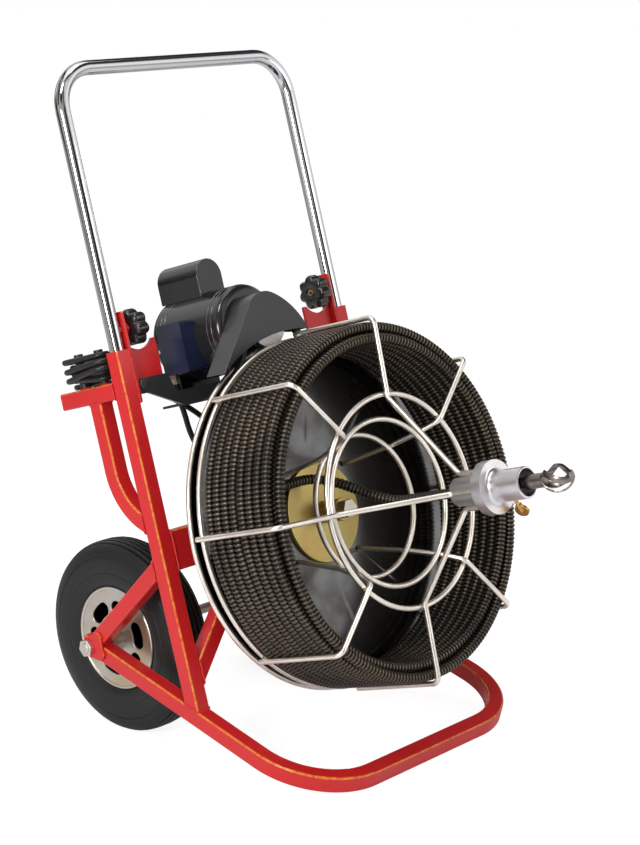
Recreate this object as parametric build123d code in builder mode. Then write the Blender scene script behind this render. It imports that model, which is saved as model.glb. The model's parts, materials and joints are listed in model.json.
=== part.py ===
"""Electric sewer snake: a cage drum of drain cable on a two-wheeled tube frame.

Every length is in millimetres. +Z is up, the nozzle points to -Y and the
machine stands on z = 0. The uprights lean back, so most pieces are placed by
three numbers: x across, u up along the uprights, w forward from their front
face.
"""
import os
from math import asin, atan2, cos, hypot, pi, radians, sin, sqrt, tan

from build123d import *

os.makedirs("parts", exist_ok=True)

# Clearances
running_fit = 0.05
face_gap = 0.3
weld_gap = 0.1

# Frame tubes
lean_angle = 14.7
tube = 25.4
tube_wall = 1.4
tube_corner = 3.0
frame_width = 508.2
upright_top = 641.0

# Base loop, axle and wheels
wheel_radius = 152.1
axle_back = 254.4
axle_radius = 7.95
loop_reach = 472.0
loop_bend = 115.0
rail_tail = 16.0
brace_top = 315.0
plate_thick = 4.0
plate_eye = 15.0
plate_arm = 24.0
plate_end = 10.0
nut_radius = 14.0
nut_thick = 8.0
axle_stub = 1.0
collar_radius = 16.0
collar_width = 10.0
collar_gap = 1.0
tyre_width = 65.0
tyre_groove = 30.0
tyre_groove_depth = 38.0
bead_run = 6.0
bead_rise = 14.0
shoulder_drop = 22.0
shoulder_run = 20.0
shoulder_mid_run = 7.0
shoulder_mid_drop = 6.0
rim_radius = 81.0
rim_wall = 5.0
rim_disc = 4.0
rim_back = 3.0
rim_recess = 3.9
hub_radius = 20.0
hub_length = 91.0
hub_gap = 2.7
wheel_inset = 54.0
bushing_radius = 12.0
kidney_count = 6
kidney_ring = 49.0
kidney_height = 22.0
kidney_sweep = 24.0

# Cross-member, braces, bars and rests
cross_height = 60.0
cross_wall = 2.0
brace_foot = 154.3
bar_height = 584.6
bar_length = 120.6
rest_back = 73.3
rest_bend = 99.0
rest_straight = 102.0
rest_turn = 75.0

# Handle and its clamps
handle_wall = 1.5
handle_bottom = 400.0
handle_top = 1060.0
handle_bend = 63.0
tab_thick = 4.0
tab_foot = 560.0
tab_top = 697.0
clamp_height = 671.0
clamp_nut_radius = 10.5
clamp_nut_thick = 8.0
screw_radius = 5.0
knob_radius = 28.0
knob_lobe = 8.0
knob_lobes = 7
knob_thick = 24.0
knob_gap = 2.7
knob_socket = 18.0

# Motor and its mount
motor_x = -36.0
motor_u = 637.0
motor_radius = 65.0
motor_wall = 3.0
motor_back = -95.0
motor_front = 64.0
bell_back_length = 25.0
bell_front_length = 19.0
bell_chamfer = 12.0
bell_floor = 12.0
motor_bearing_radius = 16.0
motor_bearing_width = 10.0
motor_shaft_radius = 8.0
bell_wall = 5.0
boss_wall = 6.0
stator_bore = 38.0
core_length = 75.0
core_back = -50.0
rotor_gap = 0.7
gusset_thick = 5.0
gusset_width = 59.7
gusset_top = 651.0
gusset_front = -10.0
web_thick = 5.0
shelf_thick = 4.0
shelf_bottom = 541.0
shelf_left = -100.0
shelf_right = 30.0
shelf_back = -98.0
shelf_front = 60.0
web_top = 595.0
web_low = 565.0
web_arm = 64.4
web_step = 10.0
arm_bottom = 572.0
arm_flat = 19.4
arm_run = 69.0
saddle_half = 42.0
saddle_thick = 5.0
saddle_top = 590.0
bolt_inset = 9.7
bolt_u = 586.0
bolt_radius = 4.0
bolt_head = 7.5
bolt_head_thick = 5.0

# Capacitor cover, switch box and cord gland
cover_width = 53.0
cover_top = 753.0
cover_back = -90.0
cover_front = 0.0
cover_wall = 1.5
capacitor_radius = 20.0
capacitor_length = 74.0
box_outer = -128.0
box_bottom = 589.0
box_top = 666.0
box_back = -46.0
box_front = 8.0
box_wall = 2.0
box_corner = 5.0
toggle_x = -113.0
toggle_u = 628.0
toggle_ball = 4.5
toggle_stem = 2.5
toggle_length = 18.0
gland_x = -119.0
gland_w = -37.0
gland_radius = 8.0
gland_length = 14.0
gland_step = 1.0

# Drum
drum_u = 337.6
drum_shaft_radius = 10.0
drum_bearing_radius = 21.0
drum_bearing_width = 12.0
housing_radius = 28.0
housing_back = -36.0
housing_length = 52.0
housing_shoulder = 2.0
shaft_collar_radius = 14.0
shaft_collar_width = 7.0
shaft_collar_gap = 1.0
hex_radius = 15.0
hex_thick = 16.0
hub_disc_radius = 77.0
hub_disc_thick = 6.0
hub_back_boss = 23.7
hub_back_length = 26.0
hub_front_boss = 17.0
hub_front_length = 40.0
sheet = 2.0
plate_w = 86.0
dish_inner = 100.0
dish_outer = 190.0
dish_depth = 16.0
flange_radius = 259.8
channel_width = 20.0
wire = 8.0
wire_phase = -3.4
wire_start = 99.0
wire_bend = 12.0
ring_a_radius = 158.0
long_corner = 152.0
nose_touch = 21.0
long_shoulder = 370.0
short_corner = 150.0
short_mid_radius = 131.2
short_mid_w = 226.2
short_low_radius = 114.3
short_low_w = 178.3
short_foot_radius = 93.3

# Belt, pulley and guard
belt_width = 10.0
belt_thick = 8.0
belt_drum_radius = 205.0
belt_pulley_radius = 28.0
pulley_flange = 1.1
pulley_lip = 2.0
guard_depth = 40.0
guard_wall = 2.5
guard_round = 46.0
guard_left_angle = 140.0
guard_right_angle = 65.0
guard_left_reach = 118.0
guard_left_drop = 66.0
guard_right_reach = 82.0
guard_right_drop = 26.0
guard_clear = 5.0

# Cable
cable = 15.9
cable_bore = 12.0
cable_gap = 0.475
layer_gap = 1.1
coil_side_gap = 0.55
coil_front_gap = 3.4
outer_turns = 8
climb_turns = 0.5
climb_bow = 0.8
inner_turns = 7.75
coil_start = 285.0
tail_x = -137.0
tail_rise = 57.0
tail_end_x = -75.0
tail_straight_w = 290.0
tail_joint_w = 366.0

# Nozzle and cutter
nose_back = 363.0
nose_back_length = 54.0
nose_flange_radius = 39.0
nose_flange_thick = 17.0
nose_front_radius = 23.0
nose_front_length = 54.0
nose_back_bore = 10.0
nose_front_bore = 20.0
nose_fillet = 6.0
nose_bevel = 1.2
thumb_angle = -58.0
thumb_w = 448.0
thumb_radius = 3.0
thumb_length = 20.0
thumb_inset = 3.0
thumb_collar = 2.0
wing_length = 22.0
wing_half = 11.0
wing_thick = 4.0
coupling_radius = 10.5
coupling_back = 490.0
coupling_length = 28.0
coupling_socket = 15.0
bulb_radius = 20.0
bulb_length = 48.0
blade_thick = 2.0
blade_width = 10.0
blade_angle = 30.0
blade_twist = 90.0
blade_inset = 1.0
tip_radius = 6.0
tip_length = 6.0

# Power cord, its posts and its plug
cord = 9.0
cord_pitch = 9.8
post_radius = 7.0
post_front = -54.0
post_back = -100.0
post_top = 650.0
cord_post_gap = 0.4
bar_cord_gap = 0.5
cord_layer = 9.7
cord_drop = 8.8
inner_runs = 7
outer_runs = 4
plug_radius = 13.0
plug_length = 40.0
pin_length = 18.0
blade_spread = 6.35
earth_pin = 2.4

# Directions along and across the leaning uprights
lean = radians(lean_angle)
UP = Vector(0, sin(lean), cos(lean))
FORE = Vector(0, -cos(lean), sin(lean))
ACROSS = Vector(1, 0, 0)

# The origin lies under the middle of the whole machine
tip_w = coupling_back + coupling_length + bulb_length
tip_y = (drum_u - tip_radius) * sin(lean) - tip_w * cos(lean)
foot_y = -(tip_y + axle_back + wheel_radius) / 2


def at(x, u, w):
    """World point from across, up-along-the-uprights and forward."""
    return Vector(x, foot_y, 0) + UP * u + FORE * w


def level(u):
    """Plane square to the uprights: local x across, y rearward."""
    return Plane(origin=at(0, u, 0), x_dir=(1, 0, 0), z_dir=UP)


def side(x):
    """Plane across the machine: local x rearward, y up the uprights."""
    return Plane(origin=at(x, 0, 0), x_dir=-FORE, z_dir=(1, 0, 0))


def front(w):
    """Plane parallel to the uprights' front face: local x across, y up."""
    return Plane(origin=at(0, 0, w), x_dir=(1, 0, 0), z_dir=FORE)


def spoke(angle):
    """Plane through the drum axis: local x outward at the angle, y forward."""
    outward = ACROSS * cos(radians(angle)) + UP * sin(radians(angle))
    return Plane(origin=at(0, drum_u, 0), x_dir=outward, z_dir=outward.cross(FORE))


def section(path):
    """Plane square to the start of a path."""
    return Plane(origin=path @ 0, z_dir=path % 0)


def biarc(start, start_dir, end, end_dir):
    """Two arcs, tangent to each other and to both given directions."""
    run = end - start
    both = start_dir + end_dir
    spread = 1 - start_dir.dot(end_dir)
    along = run.dot(both)
    if run.cross(start_dir).length < 1e-6 and spread < 1e-9:
        Line(start, end)
        return
    if spread < 1e-9:
        reach = run.dot(run) / (2 * along)
    else:
        reach = (sqrt(along * along + 2 * spread * run.dot(run)) - along) / (2 * spread)
    first = start + start_dir * reach
    second = end - end_dir * reach
    joint = (first + second) * 0.5
    TangentArc(start, joint, tangent=start_dir)
    TangentArc(joint, end, tangent=second - first)


def corner_radii(points):
    """Largest easy radius at every inner corner of a cord's route."""
    radii = []
    for before, corner, after in zip(points, points[1:], points[2:]):
        run = min((corner - before).length, (after - corner).length)
        turn = radians((corner - before).get_angle(after - corner))
        radii.append(0.45 * run / tan(turn / 2))
    return radii


def path_length(path):
    """Length of a route made of lines and arcs."""
    return sum(edge.length for edge in path.edges())


def least_gap(path, thickness, samples):
    """Smallest clear distance between stretches of a wound tube."""
    places = []
    length = 0.0
    for edge in path.edges():
        for step in range(samples):
            places.append((edge @ (step / samples), length + edge.length * step / samples))
        length += edge.length
    skip = pi * thickness
    closest = 1e9
    for index, (point, along) in enumerate(places):
        for other, other_along in places[index + 1:]:
            if other_along - along > skip:
                closest = min(closest, (other - point).length)
    return closest - thickness


# Frame positions that follow from the sizes above
half_width = frame_width / 2
post_x = half_width - tube / 2
inner_x = half_width - tube
hub_outer = inner_x - hub_gap
hub_inner = hub_outer - hub_length
wheel_middle = hub_outer - wheel_inset
tube_bore = tube - 2 * tube_wall
bore_corner = tube_corner - tube_wall
handle_radius = tube_bore / 2 - face_gap
tube_mid = -tube / 2
axle_y = foot_y + axle_back
axle_z = wheel_radius
axle_u = axle_back * sin(lean) + axle_z * cos(lean)
axle_w = axle_z * sin(lean) - axle_back * cos(lean)

# The base loop slopes so that the lower edge of its front tube meets the floor
edge_in = tube / 2 - tube_corner
edge_reach = loop_reach + edge_in
slope = asin((axle_z - tube_corner) / hypot(edge_reach, edge_in)) - atan2(edge_in, edge_reach)
loop_plane = Plane(origin=(0, axle_y, axle_z), x_dir=(1, 0, 0), z_dir=(0, -sin(slope), cos(slope)))
rail_fore = Vector(0, -cos(slope), -sin(slope))
rail_top = loop_plane.offset(tube / 2)
upright_back = Plane(origin=at(0, 0, -tube), z_dir=-FORE)
axle_left = at(-post_x, axle_u, axle_w)
brace_dir = (at(-post_x, brace_top, -tube) - axle_left).normalized()
axle_hole = axle_radius + running_fit

# Upright tubes
with BuildPart() as left_upright:
    with BuildSketch(level(upright_top)):
        with Locations((-post_x, tube / 2)):
            RectangleRounded(tube, tube, tube_corner)
            RectangleRounded(tube_bore, tube_bore, bore_corner, mode=Mode.SUBTRACT)
    extrude(amount=-upright_top)
    split(bisect_by=rail_top, keep=Keep.TOP)

with BuildPart() as right_upright:
    mirror(left_upright.part, about=Plane.YZ)

# Bent loop that carries the axle and rests on the floor at the front
with BuildPart() as base_loop:
    with BuildLine(loop_plane) as loop_path:
        FilletPolyline(
            (-post_x, rail_tail),
            (-post_x, -loop_reach),
            (post_x, -loop_reach),
            (post_x, rail_tail),
            radius=loop_bend,
        )
    with BuildSketch(Plane(origin=loop_path.line @ 0, x_dir=(1, 0, 0), z_dir=rail_fore)):
        RectangleRounded(tube, tube, tube_corner)
        RectangleRounded(tube_bore, tube_bore, bore_corner, mode=Mode.SUBTRACT)
    sweep(path=loop_path.line)
    with BuildSketch(side(-half_width - tube)):
        with Locations((-axle_w, axle_u)):
            Circle(axle_hole)
    extrude(amount=frame_width + 2 * tube, mode=Mode.SUBTRACT)

# Struts from the axle up to the uprights
with BuildPart() as rear_braces:
    with BuildSketch(Plane(origin=axle_left, x_dir=(1, 0, 0), z_dir=brace_dir)):
        RectangleRounded(tube, tube, tube_corner)
        RectangleRounded(tube_bore, tube_bore, bore_corner, mode=Mode.SUBTRACT)
    extrude(amount=hypot(brace_top - axle_u, axle_w + tube) + 2 * tube)
    split(bisect_by=rail_top, keep=Keep.TOP)
    split(bisect_by=upright_back, keep=Keep.TOP)
    mirror(about=Plane.YZ)

# Flat plates over the joints of rails and struts
with BuildPart() as axle_plates:
    with BuildSketch(side(-half_width)):
        with Locations((-axle_w, axle_u)):
            Circle(plate_eye)
        for arm in (brace_dir, rail_fore):
            with Locations((-axle_w - arm.dot(FORE) * plate_arm, axle_u + arm.dot(UP) * plate_arm)):
                Circle(plate_end)
        make_hull()
        with Locations((-axle_w, axle_u)):
            Circle(axle_hole, mode=Mode.SUBTRACT)
    extrude(amount=-plate_thick)
    mirror(about=Plane.YZ)

# Cross-member with the drum bearing's seat
with BuildPart() as cross_member:
    with BuildSketch(side(-inner_x)):
        with Locations((tube / 2, drum_u)):
            RectangleRounded(tube, cross_height, tube_corner)
            RectangleRounded(
                tube - 2 * cross_wall,
                cross_height - 2 * cross_wall,
                tube_corner - cross_wall,
                mode=Mode.SUBTRACT,
            )
    extrude(amount=2 * inner_x)
    with BuildSketch(front(-2 * tube)):
        with Locations((0, drum_u)):
            Circle(housing_radius + running_fit)
    extrude(amount=3 * tube, mode=Mode.SUBTRACT)

# Diagonal struts under the cross-member
with BuildPart() as lower_braces:
    diagonal = (ACROSS + UP).normalized()
    diagonal_foot = at(-inner_x, brace_foot, tube_mid) - diagonal * tube
    with BuildSketch(Plane(origin=diagonal_foot, x_dir=FORE, z_dir=diagonal)):
        RectangleRounded(tube, tube, tube_corner)
        RectangleRounded(tube_bore, tube_bore, bore_corner, mode=Mode.SUBTRACT)
    extrude(amount=sqrt(2) * (drum_u - brace_foot) + 2 * tube)
    split(bisect_by=Plane(origin=at(-inner_x, 0, 0), z_dir=(1, 0, 0)), keep=Keep.TOP)
    split(bisect_by=Plane(origin=at(0, drum_u - cross_height / 2, 0), z_dir=-UP), keep=Keep.TOP)
    mirror(about=Plane.YZ)

# Axle rod with its end nuts and inner collars
axle_end = half_width + plate_thick + nut_thick + axle_stub
with BuildPart() as axle:
    with BuildSketch(side(-axle_end)):
        with Locations((-axle_w, axle_u)):
            Circle(axle_radius)
    extrude(amount=2 * axle_end)

with BuildPart() as axle_fasteners:
    with BuildSketch(side(-half_width - plate_thick)):
        with Locations((-axle_w, axle_u)):
            RegularPolygon(nut_radius, 6)
            Circle(axle_hole, mode=Mode.SUBTRACT)
    extrude(amount=-nut_thick)
    with BuildSketch(side(-hub_inner + collar_gap)):
        with Locations((-axle_w, axle_u)):
            Circle(collar_radius)
            Circle(axle_hole, mode=Mode.SUBTRACT)
    extrude(amount=collar_width)
    mirror(about=Plane.YZ)

# Short bars behind the uprights, closed at the back
with BuildPart() as rear_bars:
    with BuildSketch(front(-tube)):
        with Locations((-post_x, bar_height)):
            RectangleRounded(tube, tube, tube_corner)
    extrude(amount=-bar_length)
    with BuildSketch(front(-tube)):
        with Locations((-post_x, bar_height)):
            RectangleRounded(tube_bore, tube_bore, bore_corner)
    extrude(amount=tube_wall - bar_length, mode=Mode.SUBTRACT)
    mirror(about=Plane.YZ)
bar_top = bar_height + tube / 2
bar_bottom = bar_height - tube / 2

# Curved rests from the bars back to the uprights
with BuildPart() as rest_tubes:
    rest_low = bar_bottom - rest_straight
    rest_angle = radians(rest_turn)
    rest_ends = [
        (rest_back - rest_bend * (1 - cos(turn)), rest_low - rest_bend * sin(turn))
        for turn in (rest_angle / 2, rest_angle)
    ]
    with BuildLine(side(-post_x)) as rest_path:
        Line((rest_back, bar_bottom), (rest_back, rest_low))
        ThreePointArc((rest_back, rest_low), rest_ends[0], rest_ends[1])
    with BuildSketch(Plane(origin=rest_path.line @ 0, x_dir=(1, 0, 0), z_dir=-UP)):
        RectangleRounded(tube, tube, tube_corner)
        RectangleRounded(tube_bore, tube_bore, bore_corner, mode=Mode.SUBTRACT)
    sweep(path=rest_path.line)
    split(bisect_by=upright_back, keep=Keep.TOP)
    mirror(about=Plane.YZ)

# Tabs with welded nuts that carry the clamp screws
tab_x = inner_x - tab_thick
bolt_x = tab_x - bolt_inset
clamp_nut_x = tab_x - clamp_nut_thick
screw_hole = screw_radius + running_fit
with BuildPart() as clamp_tabs:
    with BuildSketch(side(-inner_x)):
        with Locations((tube / 2, (tab_foot + tab_top) / 2)):
            RectangleRounded(tube, tab_top - tab_foot, tube_corner)
        with Locations((tube / 2, clamp_height)):
            Circle(screw_hole, mode=Mode.SUBTRACT)
    extrude(amount=tab_thick)
    with BuildSketch(side(-tab_x)):
        with Locations((tube / 2, clamp_height)):
            RegularPolygon(clamp_nut_radius, 6)
            Circle(screw_hole, mode=Mode.SUBTRACT)
    extrude(amount=clamp_nut_thick)
    mirror(about=Plane.YZ)

# Sheet gussets that carry the motor's base, cut away under the knobs
knob_outer = clamp_nut_x - knob_gap
knob_inner = knob_outer - knob_thick
with BuildPart() as motor_gussets:
    with BuildSketch(front(gusset_front)):
        with Locations((-tab_x, arm_bottom)):
            Rectangle(gusset_width, gusset_top - arm_bottom, align=(Align.MIN, Align.MIN))
        with Locations(((knob_inner + knob_outer) / -2 + knob_lobe / 2, clamp_height)):
            Circle(knob_radius + bolt_head_thick + face_gap, mode=Mode.SUBTRACT)
        with Locations((-bolt_x, bolt_u)):
            Circle(bolt_radius + running_fit, mode=Mode.SUBTRACT)
    extrude(amount=-gusset_thick)
    mirror(about=Plane.YZ)

# Motor base: web across the gussets, shelf and two saddles
web_front = gusset_front + web_thick
web_end = tab_x - face_gap
with BuildPart() as motor_base:
    with BuildSketch(front(gusset_front)):
        with BuildLine():
            Polyline(
                (0, shelf_bottom),
                (web_end - arm_flat - arm_run, shelf_bottom),
                (web_end - arm_flat, arm_bottom),
                (web_end, arm_bottom),
                (web_end, web_top),
                (web_end - web_arm, web_top),
                (web_end - web_arm - web_step, web_low),
                (0, web_low),
                close=True,
            )
        make_face()
        mirror(about=Plane.YZ)
        with Locations((-bolt_x, bolt_u), (bolt_x, bolt_u)):
            Circle(bolt_radius + running_fit, mode=Mode.SUBTRACT)
    extrude(amount=web_thick)
    with BuildSketch(front(shelf_back)):
        with Locations(((shelf_left + shelf_right) / 2, shelf_bottom)):
            Rectangle(shelf_right - shelf_left, shelf_thick, align=(Align.CENTER, Align.MIN))
    extrude(amount=shelf_front - shelf_back)
    for saddle_front in (motor_back + bell_back_length, motor_front - bell_front_length):
        with BuildSketch(front(saddle_front - saddle_thick)):
            with Locations((motor_x, shelf_bottom)):
                Rectangle(2 * saddle_half, saddle_top - shelf_bottom, align=(Align.CENTER, Align.MIN))
            with Locations((motor_x, motor_u)):
                Circle(motor_radius + running_fit, mode=Mode.SUBTRACT)
        extrude(amount=saddle_thick)

# Bolts that hold the base to the gussets
with BuildPart() as mounting_bolts:
    with BuildSketch(front(web_front)):
        with Locations((-bolt_x, bolt_u)):
            RegularPolygon(bolt_head, 6)
    extrude(amount=bolt_head_thick)
    with BuildSketch(front(web_front)):
        with Locations((-bolt_x, bolt_u)):
            Circle(bolt_radius)
    extrude(amount=-web_thick - gusset_thick - bolt_head_thick)
    with BuildSketch(front(gusset_front - gusset_thick)):
        with Locations((-bolt_x, bolt_u)):
            RegularPolygon(bolt_head, 6)
    extrude(amount=-bolt_head_thick)
    mirror(about=Plane.YZ)

# Motor: shell, two end bells, stator, bearings and turning core
motor_plane = Plane(origin=at(motor_x, motor_u, 0), x_dir=(1, 0, 0), z_dir=-UP)
motor_axis = Axis(at(motor_x, motor_u, 0), FORE)
motor_bore = motor_radius - motor_wall
shell_back = motor_back + bell_back_length
shell_front = motor_front - bell_front_length
bearing_boss = motor_bearing_radius + boss_wall
shaft_hole = motor_shaft_radius + face_gap
bearing_back = motor_back + bell_wall
bearing_front = motor_front - bell_wall / 2

with BuildPart() as motor_shell:
    with BuildSketch(motor_plane):
        with BuildLine():
            Polyline(
                (motor_bore, shell_back),
                (motor_radius, shell_back),
                (motor_radius, shell_front),
                (motor_bore, shell_front),
                close=True,
            )
        make_face()
    revolve(axis=motor_axis)

with BuildPart() as motor_rear_bell:
    with BuildSketch(motor_plane):
        with BuildLine():
            Polyline(
                (0, motor_back),
                (motor_radius - bell_floor, motor_back),
                (motor_radius, motor_back + bell_chamfer),
                (motor_radius, shell_back),
                (motor_bore, shell_back),
                (motor_bore, motor_back + bell_floor),
                (bearing_boss, motor_back + bell_floor),
                (bearing_boss, bearing_back + motor_bearing_width),
                (motor_bearing_radius, bearing_back + motor_bearing_width),
                (motor_bearing_radius, bearing_back),
                (0, bearing_back),
                close=True,
            )
        make_face()
    revolve(axis=motor_axis)

with BuildPart() as motor_front_bell:
    with BuildSketch(motor_plane):
        with BuildLine():
            Polyline(
                (shaft_hole, motor_front),
                (motor_radius - bell_floor, motor_front),
                (motor_radius, motor_front - bell_chamfer / 2),
                (motor_radius, shell_front),
                (motor_bore, shell_front),
                (motor_bore, motor_front - bell_floor),
                (bearing_boss, motor_front - bell_floor),
                (bearing_boss, bearing_front - motor_bearing_width),
                (motor_bearing_radius, bearing_front - motor_bearing_width),
                (motor_bearing_radius, bearing_front),
                (shaft_hole, bearing_front),
                close=True,
            )
        make_face()
    revolve(axis=motor_axis)

with BuildPart() as stator_core:
    with BuildSketch(front(core_back)):
        with Locations((motor_x, motor_u)):
            Circle(motor_bore - running_fit)
            Circle(stator_bore, mode=Mode.SUBTRACT)
    extrude(amount=core_length)

with BuildPart() as motor_bearings:
    for bearing_w in (bearing_back, bearing_front - motor_bearing_width):
        with BuildSketch(front(bearing_w)):
            with Locations((motor_x, motor_u)):
                Circle(motor_bearing_radius)
                Circle(motor_shaft_radius + running_fit, mode=Mode.SUBTRACT)
        extrude(amount=motor_bearing_width)

with BuildPart() as rotor_core:
    with BuildSketch(front(core_back)):
        with Locations((motor_x, motor_u)):
            Circle(stator_bore - rotor_gap)
            Circle(motor_shaft_radius, mode=Mode.SUBTRACT)
    extrude(amount=core_length)

# Drum plane positions: the belt runs in the channel behind the back plate
flat_w = plate_w + dish_depth
rear_flange_w = flat_w - channel_width - sheet
belt_w = flat_w - channel_width / 2 - belt_width / 2
pulley_w = belt_w - face_gap - pulley_flange
pulley_width = belt_width + 2 * (face_gap + pulley_flange)
shaft_tip = pulley_w + pulley_width + 1

with BuildPart() as motor_shaft:
    with BuildSketch(front(bearing_back + 2)):
        with Locations((motor_x, motor_u)):
            Circle(motor_shaft_radius)
    extrude(amount=shaft_tip - bearing_back - 2)

with BuildPart() as motor_pulley:
    pulley_groove = belt_pulley_radius - face_gap
    pulley_rim = belt_pulley_radius + belt_thick + pulley_lip
    with BuildSketch(motor_plane):
        with BuildLine():
            Polyline(
                (motor_shaft_radius, pulley_w),
                (pulley_rim, pulley_w),
                (pulley_rim, pulley_w + pulley_flange),
                (pulley_groove, pulley_w + pulley_flange),
                (pulley_groove, pulley_w + pulley_width - pulley_flange),
                (pulley_rim, pulley_w + pulley_width - pulley_flange),
                (pulley_rim, pulley_w + pulley_width),
                (motor_shaft_radius, pulley_w + pulley_width),
                close=True,
            )
        make_face()
    revolve(axis=motor_axis)

# Domed cover on the motor with the capacitor inside
cover_radius = cover_width / 2
cover_u = cover_top - cover_radius
with BuildPart() as capacitor_cover:
    with BuildSketch(front(cover_back)):
        with Locations((motor_x, cover_u)):
            Circle(cover_radius)
            Rectangle(cover_width, cover_u - motor_u, align=(Align.CENTER, Align.MAX))
    extrude(amount=cover_front - cover_back)
    with BuildSketch(front(cover_back + cover_wall)):
        with Locations((motor_x, cover_u)):
            Circle(cover_radius - cover_wall)
            Rectangle(cover_width - 2 * cover_wall, cover_u - motor_u, align=(Align.CENTER, Align.MAX))
    extrude(amount=cover_front - cover_back - 2 * cover_wall, mode=Mode.SUBTRACT)
    with BuildSketch(front(cover_back)):
        with Locations((motor_x, motor_u)):
            Circle(motor_radius + running_fit)
    extrude(amount=cover_front - cover_back, mode=Mode.SUBTRACT)

with BuildPart() as capacitor:
    capacitor_u = motor_u + motor_radius + capacitor_radius + face_gap
    with BuildSketch(front((cover_back + cover_front - capacitor_length) / 2)):
        with Locations((motor_x, capacitor_u)):
            Circle(capacitor_radius)
    extrude(amount=capacitor_length)

# Switch box on the motor's side, open towards the shell
box_mid_w = (box_back + box_front) / 2
box_mid_u = (box_bottom + box_top) / 2
box_depth = box_front - box_back
box_height = box_top - box_bottom
box_reach = motor_x - box_outer
with BuildPart() as switch_box:
    with BuildSketch(side(box_outer)):
        with Locations((-box_mid_w, box_mid_u)):
            RectangleRounded(box_depth, box_height, box_corner)
    extrude(amount=box_reach)
    with BuildSketch(side(box_outer + box_wall)):
        with Locations((-box_mid_w, box_mid_u)):
            RectangleRounded(box_depth - 2 * box_wall, box_height - 2 * box_wall, box_corner - box_wall)
    extrude(amount=box_reach, mode=Mode.SUBTRACT)
    with BuildSketch(front(box_back - 1)):
        with Locations((motor_x, motor_u)):
            Circle(motor_radius + running_fit)
        with Locations((motor_x, motor_u)):
            Rectangle(motor_radius, 2 * motor_radius, mode=Mode.ADD)
    extrude(amount=box_depth + 2, mode=Mode.SUBTRACT)
    with BuildSketch(front(box_back)):
        with Locations((toggle_x, toggle_u)):
            Circle(toggle_ball + face_gap)
    extrude(amount=box_wall, mode=Mode.SUBTRACT)

toggle_w = box_back + box_wall / 2
with BuildPart() as switch_toggle:
    ball_edge = toggle_w - sqrt(toggle_ball ** 2 - toggle_stem ** 2)
    with BuildSketch(Plane(origin=at(toggle_x, toggle_u, 0), x_dir=(1, 0, 0), z_dir=-UP)):
        with BuildLine():
            ThreePointArc((0, toggle_w + toggle_ball), (toggle_ball, toggle_w), (toggle_stem, ball_edge))
            Polyline(
                (toggle_stem, ball_edge),
                (toggle_stem, toggle_w - toggle_length),
                (0, toggle_w - toggle_length),
                (0, toggle_w + toggle_ball),
            )
        make_face()
    revolve(axis=Axis(at(toggle_x, toggle_u, 0), FORE))

with BuildPart() as cord_gland:
    with BuildSketch(level(box_bottom)):
        with Locations((gland_x, -gland_w)):
            RegularPolygon(gland_radius, 6)
    extrude(amount=-gland_length / 2)
    with BuildSketch(level(box_bottom - gland_length / 2)):
        with Locations((gland_x, -gland_w)):
            Circle(gland_radius - gland_step)
    extrude(amount=-gland_length / 2)

# Belt guard over the pulley, open towards the drum
ring_radius = flange_radius + weld_gap + wire / 2
cage_radius = ring_radius + wire + weld_gap
guard_low = cage_radius + wire / 2 + guard_clear
with BuildPart() as belt_guard:
    guard_turn = guard_left_angle - guard_right_angle
    left_end = (motor_x - guard_left_reach, motor_u - guard_left_drop)
    right_end = (motor_x + guard_right_reach, motor_u - guard_right_drop)
    with BuildSketch(front(motor_front)) as guard_outline:
        with BuildLine():
            crown = CenterArc((motor_x, motor_u), guard_round, guard_right_angle, guard_turn)
            TangentArc(crown @ 1, left_end, tangent=crown % 1)
            Polyline(left_end, (motor_x, drum_u + guard_low / 2), right_end)
            TangentArc(crown @ 0, right_end, tangent=-(crown % 0))
        make_face()
    extrude(amount=guard_depth)
    with BuildSketch(front(motor_front + guard_wall)):
        add(guard_outline.sketch_local)
        offset(amount=-guard_wall, mode=Mode.REPLACE)
    extrude(amount=guard_depth - 2 * guard_wall, mode=Mode.SUBTRACT)
    with BuildSketch(front(motor_front)):
        with Locations((0, drum_u)):
            Circle(guard_low)
    extrude(amount=guard_depth, mode=Mode.SUBTRACT)
    with BuildSketch(front(motor_front)):
        with Locations((motor_x, motor_u)):
            Circle(bearing_boss)
    extrude(amount=guard_wall, mode=Mode.SUBTRACT)

# Drive belt round the motor pulley and the drum's channel
with BuildPart() as drive_belt:
    with BuildSketch(front(belt_w)):
        with Locations((0, drum_u)):
            Circle(belt_drum_radius + belt_thick)
        with Locations((motor_x, motor_u)):
            Circle(belt_pulley_radius + belt_thick)
        make_hull()
    extrude(amount=belt_width)
    with BuildSketch(front(belt_w)):
        with Locations((0, drum_u)):
            Circle(belt_drum_radius)
        with Locations((motor_x, motor_u)):
            Circle(belt_pulley_radius)
        make_hull()
    extrude(amount=belt_width, mode=Mode.SUBTRACT)

# Drum bearing housing and its two bearings
drum_plane = spoke(0)
drum_axis = Axis(at(0, drum_u, 0), FORE)
housing_front = housing_back + housing_length
seat_depth = drum_bearing_width + housing_shoulder
with BuildPart() as bearing_housing:
    with BuildSketch(drum_plane):
        with BuildLine():
            Polyline(
                (drum_bearing_radius, housing_back),
                (housing_radius, housing_back),
                (housing_radius, housing_front),
                (drum_bearing_radius, housing_front),
                (drum_bearing_radius, housing_front - seat_depth),
                (drum_bearing_radius - housing_shoulder, housing_front - seat_depth),
                (drum_bearing_radius - housing_shoulder, housing_back + seat_depth),
                (drum_bearing_radius, housing_back + seat_depth),
                close=True,
            )
        make_face()
    revolve(axis=drum_axis)

with BuildPart() as drum_bearings:
    for bearing_w in (housing_back + housing_shoulder, housing_front - seat_depth):
        with BuildSketch(front(bearing_w)):
            with Locations((0, drum_u)):
                Circle(drum_bearing_radius)
                Circle(drum_shaft_radius + running_fit, mode=Mode.SUBTRACT)
        extrude(amount=drum_bearing_width)

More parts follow.
